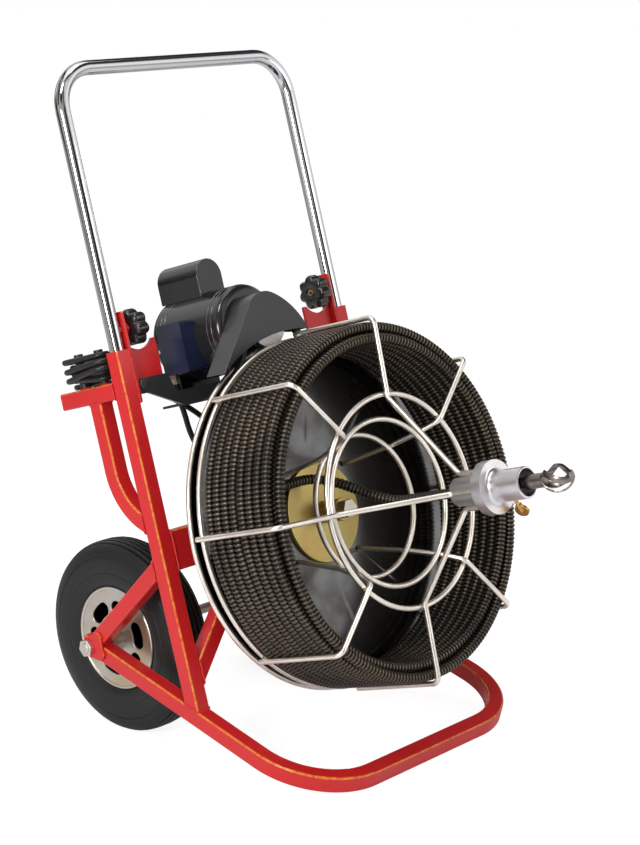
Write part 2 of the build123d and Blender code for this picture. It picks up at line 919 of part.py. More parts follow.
# Drum shaft, hub and dished back plate with the belt channel behind it
hub_w = plate_w + sheet
hub_front = hub_w + hub_disc_thick + hub_front_length
with BuildPart() as drum_shaft:
    with BuildSketch(drum_plane):
        collar_w = housing_back - shaft_collar_gap
        with BuildLine():
            Polyline(
                (0, collar_w - shaft_collar_width),
                (shaft_collar_radius, collar_w - shaft_collar_width),
                (shaft_collar_radius, collar_w),
                (drum_shaft_radius, collar_w),
                (drum_shaft_radius, hub_front),
                (0, hub_front),
                close=True,
            )
        make_face()
    revolve(axis=drum_axis)
    with BuildSketch(front(hub_front)):
        with Locations((0, drum_u)):
            RegularPolygon(hex_radius, 6)
    extrude(amount=hex_thick)

with BuildPart() as drum_hub:
    with BuildSketch(drum_plane):
        with BuildLine():
            Polyline(
                (drum_shaft_radius, hub_w - hub_back_length),
                (hub_back_boss, hub_w - hub_back_length),
                (hub_back_boss, hub_w),
                (hub_disc_radius, hub_w),
                (hub_disc_radius, hub_w + hub_disc_thick),
                (hub_front_boss, hub_w + hub_disc_thick),
                (hub_front_boss, hub_front),
                (drum_shaft_radius, hub_front),
                close=True,
            )
        make_face()
    revolve(axis=drum_axis)

with BuildPart() as back_plate:
    channel_floor = belt_drum_radius - face_gap
    with BuildSketch(drum_plane):
        with BuildLine():
            Polyline(
                (hub_back_boss + weld_gap, plate_w),
                (dish_inner, plate_w),
                (dish_outer, flat_w),
                (channel_floor - sheet, flat_w),
                (channel_floor - sheet, rear_flange_w),
                (flange_radius, rear_flange_w),
                (flange_radius, rear_flange_w + sheet),
                (channel_floor, rear_flange_w + sheet),
                (channel_floor, flat_w),
                (flange_radius, flat_w),
                (flange_radius, flat_w + sheet),
                (dish_outer, flat_w + sheet),
                (dish_inner, plate_w + sheet),
                (hub_back_boss + weld_gap, plate_w + sheet),
                close=True,
            )
        make_face()
    revolve(axis=drum_axis)

# Cage: two rear rings, long and short wires, three basket rings
ring_rear_w = rear_flange_w + sheet / 2
ring_front_w = flat_w + sheet / 2
pitch = cable + cable_gap
coil_w = ring_front_w + wire / 2 + coil_side_gap + cable / 2
coil_outer = cage_radius - wire / 2 - coil_side_gap - cable / 2
coil_inner = coil_outer - cable - layer_gap
cage_front = coil_w + outer_turns * pitch + cable / 2 + coil_front_gap + wire / 2
nose_flange_w = nose_back + nose_back_length
wire_nose = nose_touch + weld_gap + wire / 2
short_foot_w = plate_w + sheet + 1.3

with BuildPart() as rear_rings:
    with BuildSketch(drum_plane):
        with Locations((ring_radius, ring_rear_w), (ring_radius, ring_front_w)):
            Circle(wire / 2)
    revolve(axis=drum_axis)

with BuildPart() as long_wires:
    for quarter in range(4):
        with BuildLine(spoke(wire_phase + 90 * quarter)) as long_path:
            FilletPolyline(
                (cage_radius, wire_start),
                (cage_radius, cage_front),
                (long_corner, cage_front),
                (wire_nose, long_shoulder),
                (wire_nose, nose_flange_w - face_gap),
                radius=wire_bend,
            )
        with BuildSketch(section(long_path.line)):
            Circle(wire / 2)
        sweep(path=long_path.line)

with BuildPart() as short_wires:
    for quarter in range(4):
        with BuildLine(spoke(wire_phase + 45 + 90 * quarter)) as short_path:
            FilletPolyline(
                (cage_radius, wire_start),
                (cage_radius, cage_front),
                (short_corner, cage_front),
                (short_mid_radius, short_mid_w),
                (short_low_radius, short_low_w),
                (short_foot_radius, short_foot_w),
                radius=wire_bend,
            )
        with BuildSketch(section(short_path.line)):
            Circle(wire / 2)
        sweep(path=short_path.line)


def ring_seat(before, corner, after):
    """Centre of a ring's wire that touches the inside of a wire's corner."""
    first = (Vector(*corner) - Vector(*before)).normalized()
    second = (Vector(*after) - Vector(*corner)).normalized()
    bisector = (first + second).normalized()
    return (corner[0] + bisector.Y * (wire + weld_gap), corner[1] - bisector.X * (wire + weld_gap))


short_top_point = (short_corner, cage_front)
short_mid_point = (short_mid_radius, short_mid_w)
short_low_point = (short_low_radius, short_low_w)
short_foot_point = (short_foot_radius, short_foot_w)
with BuildPart() as basket_rings:
    with BuildSketch(drum_plane):
        with Locations(
            (ring_a_radius, cage_front - wire - weld_gap),
            ring_seat(short_top_point, short_mid_point, short_low_point),
            ring_seat(short_mid_point, short_low_point, short_foot_point),
        ):
            Circle(wire / 2)
    revolve(axis=drum_axis)

# Nozzle sleeve on the drum's front with its wing screw
nose_front_w = nose_flange_w + nose_flange_thick
nose_end = nose_front_w + nose_front_length
bore_step = nose_front_w + sheet
fillet_mid = 1 - sqrt(0.5)
with BuildPart() as nose_sleeve:
    with BuildSketch(drum_plane):
        with BuildLine():
            Polyline(
                (nose_back_bore, nose_back),
                (nose_touch, nose_back),
                (nose_touch, nose_flange_w),
                (nose_flange_radius, nose_flange_w),
                (nose_flange_radius, nose_front_w),
                (nose_front_radius + nose_fillet, nose_front_w),
            )
            ThreePointArc(
                (nose_front_radius + nose_fillet, nose_front_w),
                (nose_front_radius + nose_fillet * fillet_mid, nose_front_w + nose_fillet * fillet_mid),
                (nose_front_radius, nose_front_w + nose_fillet),
            )
            Polyline(
                (nose_front_radius, nose_front_w + nose_fillet),
                (nose_front_radius, nose_end - nose_bevel),
                (nose_front_radius - nose_bevel, nose_end),
                (nose_front_bore, nose_end),
                (nose_front_bore, bore_step),
                (nose_back_bore, bore_step),
                (nose_back_bore, nose_back),
            )
        make_face()
    revolve(axis=drum_axis)
    thumb_out = ACROSS * cos(radians(thumb_angle)) + UP * sin(radians(thumb_angle))
    with BuildSketch(Plane(origin=at(0, drum_u, thumb_w), x_dir=FORE, z_dir=thumb_out)):
        Circle(thumb_radius + running_fit)
    extrude(amount=nose_flange_radius, mode=Mode.SUBTRACT)

with BuildPart() as thumb_screw:
    thumb_tip = nose_front_bore - thumb_inset
    thumb_plane = Plane(origin=at(0, drum_u, thumb_w) + thumb_out * thumb_tip, x_dir=FORE, z_dir=thumb_out)
    with BuildSketch(thumb_plane):
        Circle(thumb_radius)
    extrude(amount=thumb_length)
    with BuildSketch(thumb_plane.offset(thumb_length)):
        Circle(thumb_radius + thumb_collar)
    extrude(amount=wing_length / 2)
    with BuildSketch(Plane(origin=thumb_plane.origin, x_dir=FORE, z_dir=thumb_out.cross(FORE))):
        with Locations((0, -thumb_length - wing_length / 2)):
            SlotOverall(2 * wing_half, wing_length - thumb_collar)
    extrude(amount=wing_thick / 2, both=True)

# Drain cable wound in two layers in the cage, then led out to the nozzle


def drum_point(angle, radius, w):
    """Point by angle about the drum axis, radius and forward place."""
    return at(radius * cos(radians(angle)), drum_u + radius * sin(radians(angle)), w)


def coil_point(turn):
    """Point of the cable's centre line after a number of turns."""
    angle = coil_start - 360 * turn
    if turn <= outer_turns:
        return drum_point(angle, coil_outer, coil_w + pitch * turn)
    if turn <= outer_turns + climb_turns:
        part = (turn - outer_turns) / climb_turns
        radius = coil_outer + (coil_inner - coil_outer) * part * part * (3 - 2 * part)
        lift = climb_turns * (part - part ** 2) + climb_bow * (part - part ** 2) ** 2
        return drum_point(angle, radius, coil_w + pitch * (outer_turns + lift))
    back = turn - outer_turns - climb_turns
    return drum_point(angle, coil_inner, coil_w + pitch * (outer_turns - back))


def coil_dir(turn):
    """Direction of the cable's centre line after a number of turns."""
    return (coil_point(turn + 0.0005) - coil_point(turn - 0.0005)).normalized()


quarter_turns = [step / 4 for step in range(4 * outer_turns + 1)]
climb_steps = [outer_turns + climb_turns * step / 4 for step in range(1, 5)]
inner_steps = [outer_turns + climb_turns + step / 4 for step in range(1, int(4 * inner_turns) + 1)]
stations = quarter_turns + climb_steps + inner_steps
tail_w = coil_w + face_gap
tail_start = at(tail_x, drum_u + tail_rise, tail_w)
tail_end = at(tail_end_x, drum_u + tail_rise, tail_w)
tail_axis = at(0, drum_u, tail_straight_w)
with BuildPart() as cable_coil:
    with BuildLine() as coil_path:
        Line(coil_point(0) - coil_dir(0) * cable, coil_point(0))
        for turn, following in zip(stations, stations[1:]):
            biarc(coil_point(turn), coil_dir(turn), coil_point(following), coil_dir(following))
        biarc(coil_point(stations[-1]), coil_dir(stations[-1]), tail_start, ACROSS)
        Line(tail_start, tail_end)
        biarc(tail_end, ACROSS, tail_axis, FORE)
        Line(tail_axis, at(0, drum_u, tail_joint_w))
    with BuildSketch(section(coil_path.line)):
        Circle(cable / 2)
        Circle(cable_bore / 2, mode=Mode.SUBTRACT)
    sweep(path=coil_path.line)
cable_area = pi * (cable ** 2 - cable_bore ** 2) / 4
print("cable length", round(path_length(coil_path)), "volume ratio",
      round(cable_coil.part.volume / (cable_area * path_length(coil_path)), 5))
print("cable least gap to itself", round(least_gap(coil_path, cable, 6), 3))

# Free end of the cable in the nozzle, with its coupling and bulb cutter
cable_tip = coupling_back + coupling_socket
with BuildPart() as cable_end:
    with BuildSketch(front(tail_joint_w)):
        with Locations((0, drum_u)):
            Circle(cable / 2)
            Circle(cable_bore / 2, mode=Mode.SUBTRACT)
    extrude(amount=cable_tip - tail_joint_w)

coupling_end = coupling_back + coupling_length
with BuildPart() as cutter:
    bulb_w = coupling_end + bulb_length / 2
    blade_root = coupling_radius - blade_inset
    blade_tip = tip_radius - blade_inset
    with BuildSketch(drum_plane):
        with BuildLine():
            ThreePointArc(
                (blade_root, coupling_end),
                (bulb_radius, bulb_w),
                (blade_tip, tip_w),
            )
            Line((blade_tip, tip_w), (blade_tip - blade_thick, tip_w))
            ThreePointArc(
                (blade_tip - blade_thick, tip_w),
                (bulb_radius - blade_thick, bulb_w),
                (blade_root - blade_thick, coupling_end),
            )
            Line((blade_root - blade_thick, coupling_end), (blade_root, coupling_end))
        make_face()
    revolve(axis=drum_axis)
    with BuildSketch(front(coupling_end), mode=Mode.PRIVATE) as blade_cross:
        with Locations((0, drum_u)):
            Rectangle(blade_width, 4 * bulb_radius, rotation=blade_angle)
            Rectangle(4 * bulb_radius, blade_width, rotation=blade_angle)
    blades = Solid.extrude_linear_with_rotation(
        blade_cross.sketch.faces()[0].outer_wire(),
        at(0, drum_u, coupling_end),
        FORE * bulb_length,
        blade_twist,
    )
    add(blades, mode=Mode.INTERSECT)
    with BuildSketch(front(tip_w - tip_length)):
        with Locations((0, drum_u)):
            Circle(tip_radius)
    extrude(amount=tip_length)
    with BuildSketch(front(coupling_back)):
        with Locations((0, drum_u)):
            Circle(coupling_radius)
    extrude(amount=coupling_length)
    with BuildSketch(front(coupling_back)):
        with Locations((0, drum_u)):
            Circle(cable / 2)
    extrude(amount=coupling_socket, mode=Mode.SUBTRACT)

# Wheels: tyre, rim with hub, bushing
wheel_plane = Plane(origin=(-wheel_middle, axle_y, axle_z), x_dir=(1, 0, 0), z_dir=(0, -1, 0))
axle_axis = Axis((0, axle_y, axle_z), (1, 0, 0))
tyre_half = tyre_width / 2
with BuildPart() as left_tyre:
    with BuildSketch(wheel_plane):
        with BuildLine():
            Polyline(
                (tyre_groove / 2, rim_radius),
                (tyre_half - bead_run, rim_radius),
                (tyre_half, rim_radius + bead_rise),
                (tyre_half, wheel_radius - shoulder_drop),
            )
            ThreePointArc(
                (tyre_half, wheel_radius - shoulder_drop),
                (tyre_half - shoulder_mid_run, wheel_radius - shoulder_mid_drop),
                (tyre_half - shoulder_run, wheel_radius),
            )
            Line((tyre_half - shoulder_run, wheel_radius), (shoulder_run - tyre_half, wheel_radius))
            ThreePointArc(
                (shoulder_run - tyre_half, wheel_radius),
                (shoulder_mid_run - tyre_half, wheel_radius - shoulder_mid_drop),
                (-tyre_half, wheel_radius - shoulder_drop),
            )
            Polyline(
                (-tyre_half, wheel_radius - shoulder_drop),
                (-tyre_half, rim_radius + bead_rise),
                (bead_run - tyre_half, rim_radius),
                (-tyre_groove / 2, rim_radius),
            )
            Polyline(
                (-tyre_groove / 2, rim_radius),
                (-tyre_groove / 2, rim_radius + tyre_groove_depth),
                (tyre_groove / 2, rim_radius + tyre_groove_depth),
                (tyre_groove / 2, rim_radius),
            )
        make_face()
    revolve(axis=axle_axis)

with BuildPart() as right_tyre:
    mirror(left_tyre.part, about=Plane.YZ)

rim_half = tyre_half - rim_recess
with BuildPart() as left_rim:
    with BuildSketch(wheel_plane):
        with BuildLine():
            Polyline(
                (-rim_half, hub_radius),
                (-rim_half, rim_radius),
                (rim_half, rim_radius),
                (rim_half, hub_radius),
                (wheel_middle - hub_inner, hub_radius),
                (wheel_middle - hub_inner, bushing_radius),
                (wheel_middle - hub_outer, bushing_radius),
                (wheel_middle - hub_outer, hub_radius),
                close=True,
            )
        make_face()
        with BuildLine():
            Polyline(
                (rim_disc - rim_half, hub_radius),
                (rim_disc - rim_half, rim_radius - rim_wall),
                (rim_half - rim_back, rim_radius - rim_wall),
                (rim_half - rim_back, hub_radius),
                close=True,
            )
        make_face(mode=Mode.SUBTRACT)
    revolve(axis=axle_axis)
    with BuildSketch(side(-wheel_middle - rim_half)):
        with Locations((-axle_w, axle_u)):
            for spoke_index in range(kidney_count):
                kidney_start = 360 / kidney_count * spoke_index - kidney_sweep / 2
                kidney_end = kidney_start + kidney_sweep
                SlotArc(Edge.make_circle(kidney_ring, Plane.XY, kidney_start, kidney_end), kidney_height)
    extrude(amount=rim_disc, mode=Mode.SUBTRACT)

with BuildPart() as right_rim:
    mirror(left_rim.part, about=Plane.YZ)

with BuildPart() as left_wheel_bushing:
    with BuildSketch(side(-hub_outer)):
        with Locations((-axle_w, axle_u)):
            Circle(bushing_radius)
            Circle(axle_radius + running_fit, mode=Mode.SUBTRACT)
    extrude(amount=hub_outer - hub_inner)

with BuildPart() as right_wheel_bushing:
    mirror(left_wheel_bushing.part, about=Plane.YZ)

# Sliding handle and its clamp knobs
with BuildPart() as handle:
    with BuildLine(front(tube_mid)) as handle_path:
        FilletPolyline(
            (-post_x, handle_bottom),
            (-post_x, handle_top),
            (post_x, handle_top),
            (post_x, handle_bottom),
            radius=handle_bend,
        )
    with BuildSketch(section(handle_path.line)):
        Circle(handle_radius)
        Circle(handle_radius - handle_wall, mode=Mode.SUBTRACT)
    sweep(path=handle_path.line)

screw_tip = post_x - handle_radius - face_gap
with BuildPart() as left_clamp_screw:
    with BuildSketch(side(-screw_tip)):
        with Locations((tube / 2, clamp_height)):
            Circle(screw_radius)
    extrude(amount=screw_tip - knob_outer + knob_socket)

with BuildPart() as right_clamp_screw:
    mirror(left_clamp_screw.part, about=Plane.YZ)

with BuildPart() as left_clamp_knob:
    with BuildSketch(side(-knob_outer)):
        with Locations((tube / 2, clamp_height)):
            Circle(knob_radius - knob_lobe)
            with PolarLocations(knob_radius - knob_lobe, knob_lobes):
                Circle(knob_lobe)
    extrude(amount=knob_thick)
    with BuildSketch(side(-knob_outer)):
        with Locations((tube / 2, clamp_height)):
            Circle(screw_radius)
    extrude(amount=knob_socket, mode=Mode.SUBTRACT)

with BuildPart() as right_clamp_knob:
    mirror(left_clamp_knob.part, about=Plane.YZ)

# Posts on the left bar that hold the wound power cord
with BuildPart() as cord_posts:
    with BuildSketch(level(bar_top)):
        with Locations((-post_x, -post_front), (-post_x, -post_back)):
            Circle(post_radius)
    extrude(amount=post_top - bar_top)

# Power cord: lead from the gland, hank round the posts, tail to the plug
inner_bend = post_radius + cord / 2 + cord_post_gap
outer_bend = inner_bend + cord_layer
hank_u = bar_top + bar_cord_gap + cord / 2


def hank_point(x_offset, u, w):
    """Point of the hank beside the line of its posts."""
    return at(-post_x + x_offset, u, w)


hank = []
row_u = hank_u
for run in range(inner_runs):
    forward = run % 2 == 0
    heading = FORE if forward else -FORE
    offset_x = inner_bend if forward else -inner_bend
    ends = (post_back, post_front) if forward else (post_front, post_back)
    hank.append((hank_point(offset_x, row_u, ends[0]), heading))
    row_u += cord_pitch if run == inner_runs - 1 else cord_pitch / 2
    hank.append((hank_point(offset_x, row_u, ends[1]), heading))
hank.append((hank_point(-inner_bend, row_u, post_front), -FORE))
hank.append((hank_point(-outer_bend, row_u, post_back), -FORE))
for run in range(outer_runs):
    forward = run % 2 == 0
    heading = FORE if forward else -FORE
    offset_x = outer_bend if forward else -outer_bend
    ends = (post_back, post_front) if forward else (post_front, post_back)
    hank.append((hank_point(offset_x, row_u, ends[0]), heading))
    if run == 0:
        row_u -= cord_pitch
    elif run == outer_runs - 1:
        row_u -= cord_drop
    else:
        row_u -= cord_pitch / 2
    hank.append((hank_point(offset_x, row_u, ends[1]), heading))
hank.append((hank_point(outer_bend, row_u, post_back), FORE))
hank_start = hank[0][0] - FORE * cord
hank_end = hank[-1][0] + FORE * cord

with BuildPart() as cord_hank:
    with BuildLine() as hank_path:
        Line(hank_start, hank[0][0])
        for (here, here_dir), (there, there_dir) in zip(hank, hank[1:]):
            biarc(here, here_dir, there, there_dir)
        Line(hank[-1][0], hank_end)
    with BuildSketch(section(hank_path.line)):
        Circle(cord / 2)
    sweep(path=hank_path.line)
cord_area = pi * cord ** 2 / 4
print("hank length", round(path_length(hank_path)), "volume ratio",
      round(cord_hank.part.volume / (cord_area * path_length(hank_path)), 5))
print("hank least gap to itself", round(least_gap(hank_path, cord, 8), 3))

lead_points = [
    at(gland_x, box_bottom - gland_length, gland_w),
    at(gland_x, 553, gland_w),
    at(-110, 528, -42),
    at(-101, 502, -50),
    at(-86, 477, -58),
    at(-64, 457, -66),
    at(-37, 447, -74),
    at(-11, 451, -84),
    at(4, 470, -94),
    at(2, 494, -102),
    at(-14, 517, -108),
    at(-37, 538, -112),
    at(-64, 558, -117),
    at(-93, 576, -123),
    at(-122, 590, -131),
    at(-152, 599, -142),
    at(-183, 603, -152),
    hank_point(inner_bend + 18, hank_u, post_back - 53),
    hank_point(inner_bend, hank_u, post_back - 34.5),
    hank_start,
]
with BuildPart() as cord_lead:
    with BuildLine() as lead_path:
        FilletPolyline(*lead_points, radius=corner_radii(lead_points))
    with BuildSketch(section(lead_path.line)):
        Circle(cord / 2)
    sweep(path=lead_path.line)

tail_low = hank_point(39.4, 556, -48)
plug_top = tail_low - Vector(0, 0, 25)
tail_points = [
    hank_end,
    hank_end + FORE * 22,
    hank_point(29.4, 602, -50),
    hank_point(35.4, 580, -44),
    tail_low,
    plug_top,
]
with BuildPart() as cord_tail:
    with BuildLine() as tail_path:
        FilletPolyline(*tail_points, radius=corner_radii(tail_points))
    with BuildSketch(section(tail_path.line)):
        Circle(cord / 2)
    sweep(path=tail_path.line)
for free_name, free_cord, free_path, free_points in (
    ("lead", cord_lead, lead_path, lead_points),
    ("tail", cord_tail, tail_path, tail_points),
):
    print(free_name, "radii", [round(radius) for radius in corner_radii(free_points)],
          "volume ratio", round(free_cord.part.volume / (cord_area * path_length(free_path)), 5))

with BuildPart() as plug:
    plug_plane = Plane(origin=plug_top, x_dir=(1, 0, 0), z_dir=(0, 0, -1))
    with BuildSketch(plug_plane):
        Circle(cord)
    with BuildSketch(plug_plane.offset(plug_length)):
        Circle(plug_radius)
    loft()
    with BuildSketch(plug_plane.offset(plug_length)):
        with Locations((-blade_spread, 0), (blade_spread, 0)):
            Rectangle(1.5, 6.3)
        with Locations((0, blade_spread + earth_pin)):
            Circle(earth_pin)
    extrude(amount=pin_length)

pieces = {
    "left_upright": left_upright,
    "right_upright": right_upright,
    "base_loop": base_loop,
    "rear_braces": rear_braces,
    "axle_plates": axle_plates,
    "cross_member": cross_member,
    "lower_braces": lower_braces,
    "axle": axle,
    "axle_fasteners": axle_fasteners,
    "rear_bars": rear_bars,
    "rest_tubes": rest_tubes,
    "clamp_tabs": clamp_tabs,
    "motor_gussets": motor_gussets,
    "motor_base": motor_base,
    "mounting_bolts": mounting_bolts,
    "motor_shell": motor_shell,
    "motor_front_bell": motor_front_bell,
    "motor_rear_bell": motor_rear_bell,
    "stator_core": stator_core,
    "capacitor_cover": capacitor_cover,
    "capacitor": capacitor,
    "switch_box": switch_box,
    "cord_gland": cord_gland,
    "motor_bearings": motor_bearings,
    "belt_guard": belt_guard,
    "drive_belt": drive_belt,
    "bearing_housing": bearing_housing,
    "drum_bearings": drum_bearings,
    "cord_posts": cord_posts,
    "cord_lead": cord_lead,
    "cord_hank": cord_hank,
    "cord_tail": cord_tail,
    "plug": plug,
    "left_tyre": left_tyre,
    "left_rim": left_rim,
    "left_wheel_bushing": left_wheel_bushing,
    "right_tyre": right_tyre,
    "right_rim": right_rim,
    "right_wheel_bushing": right_wheel_bushing,
    "handle": handle,
    "left_clamp_knob": left_clamp_knob,
    "left_clamp_screw": left_clamp_screw,
    "right_clamp_knob": right_clamp_knob,
    "right_clamp_screw": right_clamp_screw,
    "motor_shaft": motor_shaft,
    "rotor_core": rotor_core,
    "motor_pulley": motor_pulley,
    "drum_shaft": drum_shaft,
    "drum_hub": drum_hub,
    "back_plate": back_plate,
    "rear_rings": rear_rings,
    "long_wires": long_wires,
    "short_wires": short_wires,
    "basket_rings": basket_rings,
    "nose_sleeve": nose_sleeve,
    "cable_coil": cable_coil,
    "cable_end": cable_end,
    "cutter": cutter,
    "thumb_screw": thumb_screw,
    "switch_toggle": switch_toggle,
}
for label, piece in pieces.items():
    piece.part.label = label
    export_step(piece.part, f"parts/{label}.step")
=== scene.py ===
"""Dressing for a drum drain-cleaning machine on a two-wheeled tube frame.

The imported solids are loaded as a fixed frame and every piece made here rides
on one of their bodies. Lengths are in metres, +Z is up and the nozzle points
to -Y. The uprights lean back, so most places are given by x across, u up
along the uprights and w forward from their front face.
"""
import json
from math import cos, pi, radians, sin, sqrt

import bmesh
import bpy
from bpy.props import FloatProperty, FloatVectorProperty, IntProperty, PointerProperty
from mathutils import Matrix, Vector

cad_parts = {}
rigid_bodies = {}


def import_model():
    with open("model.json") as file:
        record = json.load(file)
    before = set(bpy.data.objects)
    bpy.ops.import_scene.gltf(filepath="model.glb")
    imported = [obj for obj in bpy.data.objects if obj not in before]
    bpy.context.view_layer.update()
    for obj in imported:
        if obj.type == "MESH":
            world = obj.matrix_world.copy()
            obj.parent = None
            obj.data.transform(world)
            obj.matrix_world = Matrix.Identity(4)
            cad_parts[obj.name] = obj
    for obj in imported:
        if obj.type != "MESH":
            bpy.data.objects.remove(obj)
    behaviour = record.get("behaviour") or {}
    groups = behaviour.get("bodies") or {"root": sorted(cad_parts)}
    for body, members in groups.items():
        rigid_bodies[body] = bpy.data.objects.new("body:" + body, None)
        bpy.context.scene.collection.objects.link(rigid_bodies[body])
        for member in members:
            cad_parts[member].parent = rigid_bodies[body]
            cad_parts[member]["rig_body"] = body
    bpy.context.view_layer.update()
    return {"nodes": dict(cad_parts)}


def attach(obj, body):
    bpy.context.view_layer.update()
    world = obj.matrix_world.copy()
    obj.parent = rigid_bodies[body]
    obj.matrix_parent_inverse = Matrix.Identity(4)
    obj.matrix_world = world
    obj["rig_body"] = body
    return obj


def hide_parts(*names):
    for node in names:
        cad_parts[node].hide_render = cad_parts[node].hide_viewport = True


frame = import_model()

bl_info = {
    "name": "Drain Machine Dressing",
    "version": (1, 0, 0),
    "blender": (4, 5, 0),
    "location": "View3D > Sidebar > Drain Machine",
    "description": "Dresses the packed drain-cleaning machine with detailed pieces and finishes",
    "category": "Object",
}


# Settings


def length(label, text, default):
    """Setting for a length."""
    return FloatProperty(name=label, description=text, default=default, unit="LENGTH", precision=5)


def angle(label, text, default):
    """Setting for an angle that is given in degrees."""
    return FloatProperty(name=label, description=text, default=radians(default), subtype="ANGLE")


def count(label, text, default):
    """Setting for a number of like things."""
    return IntProperty(name=label, description=text, default=default, min=1)


def colour(label, text, default):
    """Setting for a colour."""
    return FloatVectorProperty(
        name=label, description=text, default=default, size=3, min=0.0, max=1.0, subtype="COLOR"
    )


class PlacingSizes(bpy.types.PropertyGroup):
    """Where the leaning frame stands and what its tubes measure."""

    lean: angle("Lean", "How far the uprights lean back", 14.7)
    foot: length("Foot", "Where the line of the uprights meets the floor", 0.0284137)
    tube: length("Tube", "Side of the square frame tube", 0.0254)
    tube_x: length("Tube line", "Middle of an upright, from the machine's middle", 0.2414)
    drum_u: length("Drum height", "Drum axis, up along the uprights", 0.3376)
    axle_back: length("Axle back", "Axle behind the foot", 0.2544)
    wheel_radius: length("Wheel radius", "Tyre radius and height of the axle", 0.1521)
    rail_slope: angle("Rail slope", "How far the base loop slopes down to the front", 16.874)
    bead: length("Weld bead", "Half width of a weld bead", 0.0021)
    bead_step: length("Weld ripple", "Distance between the ripples of a weld bead", 0.0023)


class WheelSizes(bpy.types.PropertyGroup):
    """Tyres and rims."""

    middle: length("Wheel line", "Middle of a tyre, from the machine's middle", 0.172)
    rim_radius: length("Rim radius", "Where the tyre sits on the rim", 0.081)
    rim_half: length("Rim half width", "Half of the rim's width", 0.0286)
    lip: length("Rim lip", "Radius of the rim's rolled lip", 0.0026)
    front_disc: length("Front disc", "Depth of the rim's disc with its holes", 0.0035)
    back_plate: length("Back plate", "Depth of the plate that closes the rim", 0.0025)
    swings: count("Swings", "Zigzags of the tread round a tyre", 54)
    zigzag: length("Zigzag", "Sideways swing of the tread grooves", 0.0006)


class HandleSizes(bpy.types.PropertyGroup):
    """Push handle and the knobs that clamp it."""

    radius: length("Handle radius", "Outer radius of the handle tube", 0.011)
    low: length("Handle foot", "Lower end of the handle", 0.4)
    high: length("Handle top", "Height of the handle's cross bar", 1.06)
    bend: length("Handle bend", "Radius of the handle's corners", 0.063)
    knob_u: length("Knob height", "Height of the clamp knobs", 0.671)
    knob_inner: length("Knob inner face", "Knob face nearest the machine's middle", 0.19)
    knob_outer: length("Knob outer face", "Knob face nearest the upright", 0.214)
    knob_radius: length("Knob radius", "Radius over the knob's lobes", 0.028)
    knob_valley: length("Knob valley", "Radius between the knob's lobes", 0.0222)
    lobes: count("Lobes", "Lobes of a knob", 7)


class MotorSizes(bpy.types.PropertyGroup):
    """Motor, its covers and the switch."""

    x: length("Motor line", "Motor axis, from the machine's middle", -0.036)
    u: length("Motor height", "Motor axis, up along the uprights", 0.637)
    radius: length("Motor radius", "Radius of the motor shell", 0.065)
    back: length("Motor back", "Rear end of the motor", -0.095)
    seam_back: length("Rear seam", "Joint of shell and rear bell", -0.07)
    seam_front: length("Front seam", "Joint of shell and front bell", 0.045)
    front: length("Motor front", "Front end of the motor", 0.064)
    fins: count("Bell ribs", "Ribs round an end bell", 24)


class CableSizes(bpy.types.PropertyGroup):
    """Drain cable, wound from a wire so that it is ribbed."""

    radius: length("Cable radius", "Outer radius of the cable", 0.00795)
    rib: length("Rib pitch", "Distance between two windings of the cable's wire", 0.0066)
    groove: length("Rib depth", "Depth of the groove between two windings", 0.0028)
    coil_outer: length("Outer layer", "Radius of the outer layer's middle line", 0.2595)
    coil_inner: length("Inner layer", "Radius of the inner layer's middle line", 0.2425)
    coil_w: length("First turn", "Forward place of the first turn", 0.1155)
    pitch: length("Turn pitch", "Distance between two turns", 0.016375)
    joint_w: length("Joint", "Forward place where the sliding end begins", 0.366)
    tip_w: length("Cable tip", "Forward place of the cable's tip in its coupling", 0.505)
    facets: count("Facets", "Points round the cable", 12)


class CordSizes(bpy.types.PropertyGroup):
    """Power cord, the posts that it is wound on and its plug."""

    diameter: length("Cord diameter", "Diameter of the power cord", 0.009)
    stretch: length("Cord length", "Length from the gland to the plug", 1.84)
    post_front: length("Front post", "Forward place of the front post", -0.054)
    post_back: length("Rear post", "Forward place of the rear post", -0.1)
    inner_bend: length("Inner bend", "Radius of the inner turns", 0.0119)
    outer_bend: length("Outer bend", "Radius of the outer turns", 0.0216)
    pitch: length("Cord pitch", "Rise of one inner turn", 0.0098)
    relief: length("Strain relief", "Length of the tapered sleeve at the gland", 0.028)


class FinishColours(bpy.types.PropertyGroup):
    """Colours of the finishes."""

    red: colour("Red", "Frame paint", (0.56, 0.013, 0.015))
    # The glint is a painted highlight: the colour that the paint's lit edges take
    glint: colour("Glint", "Thin paint along the tube edges", (0.66, 0.27, 0.03))
    black: colour("Black", "Motor and guard paint", (0.016, 0.016, 0.017))
    rubber: colour("Rubber", "Tyre rubber", (0.006, 0.006, 0.0065))
    chrome: colour("Chrome", "Handle plating", (0.72, 0.73, 0.76))
    nickel: colour("Nickel", "Cage wire plating", (0.92, 0.86, 0.79))
    aluminium: colour("Aluminium", "Nozzle sleeve", (0.82, 0.81, 0.83))
    # The cable wire colour is a painted warm highlight on the crests of the ribs
    wire: colour("Cable wire", "Oiled wire on the cable's crests", (0.15, 0.115, 0.075))
    zinc: colour("Zinc", "Yellow passivated hub", (0.56, 0.45, 0.17))
    rim: colour("Rim", "Silver rim paint", (0.56, 0.52, 0.50))
    plate: colour("Plate", "Polished back plate", (0.20, 0.20, 0.205))
    brass: colour("Brass", "Wing screw", (0.62, 0.38, 0.12))
    navy: colour("Navy", "Switch box face", (0.010, 0.014, 0.040))
    floor: colour("Floor", "Studio floor", (0.90, 0.90, 0.90))


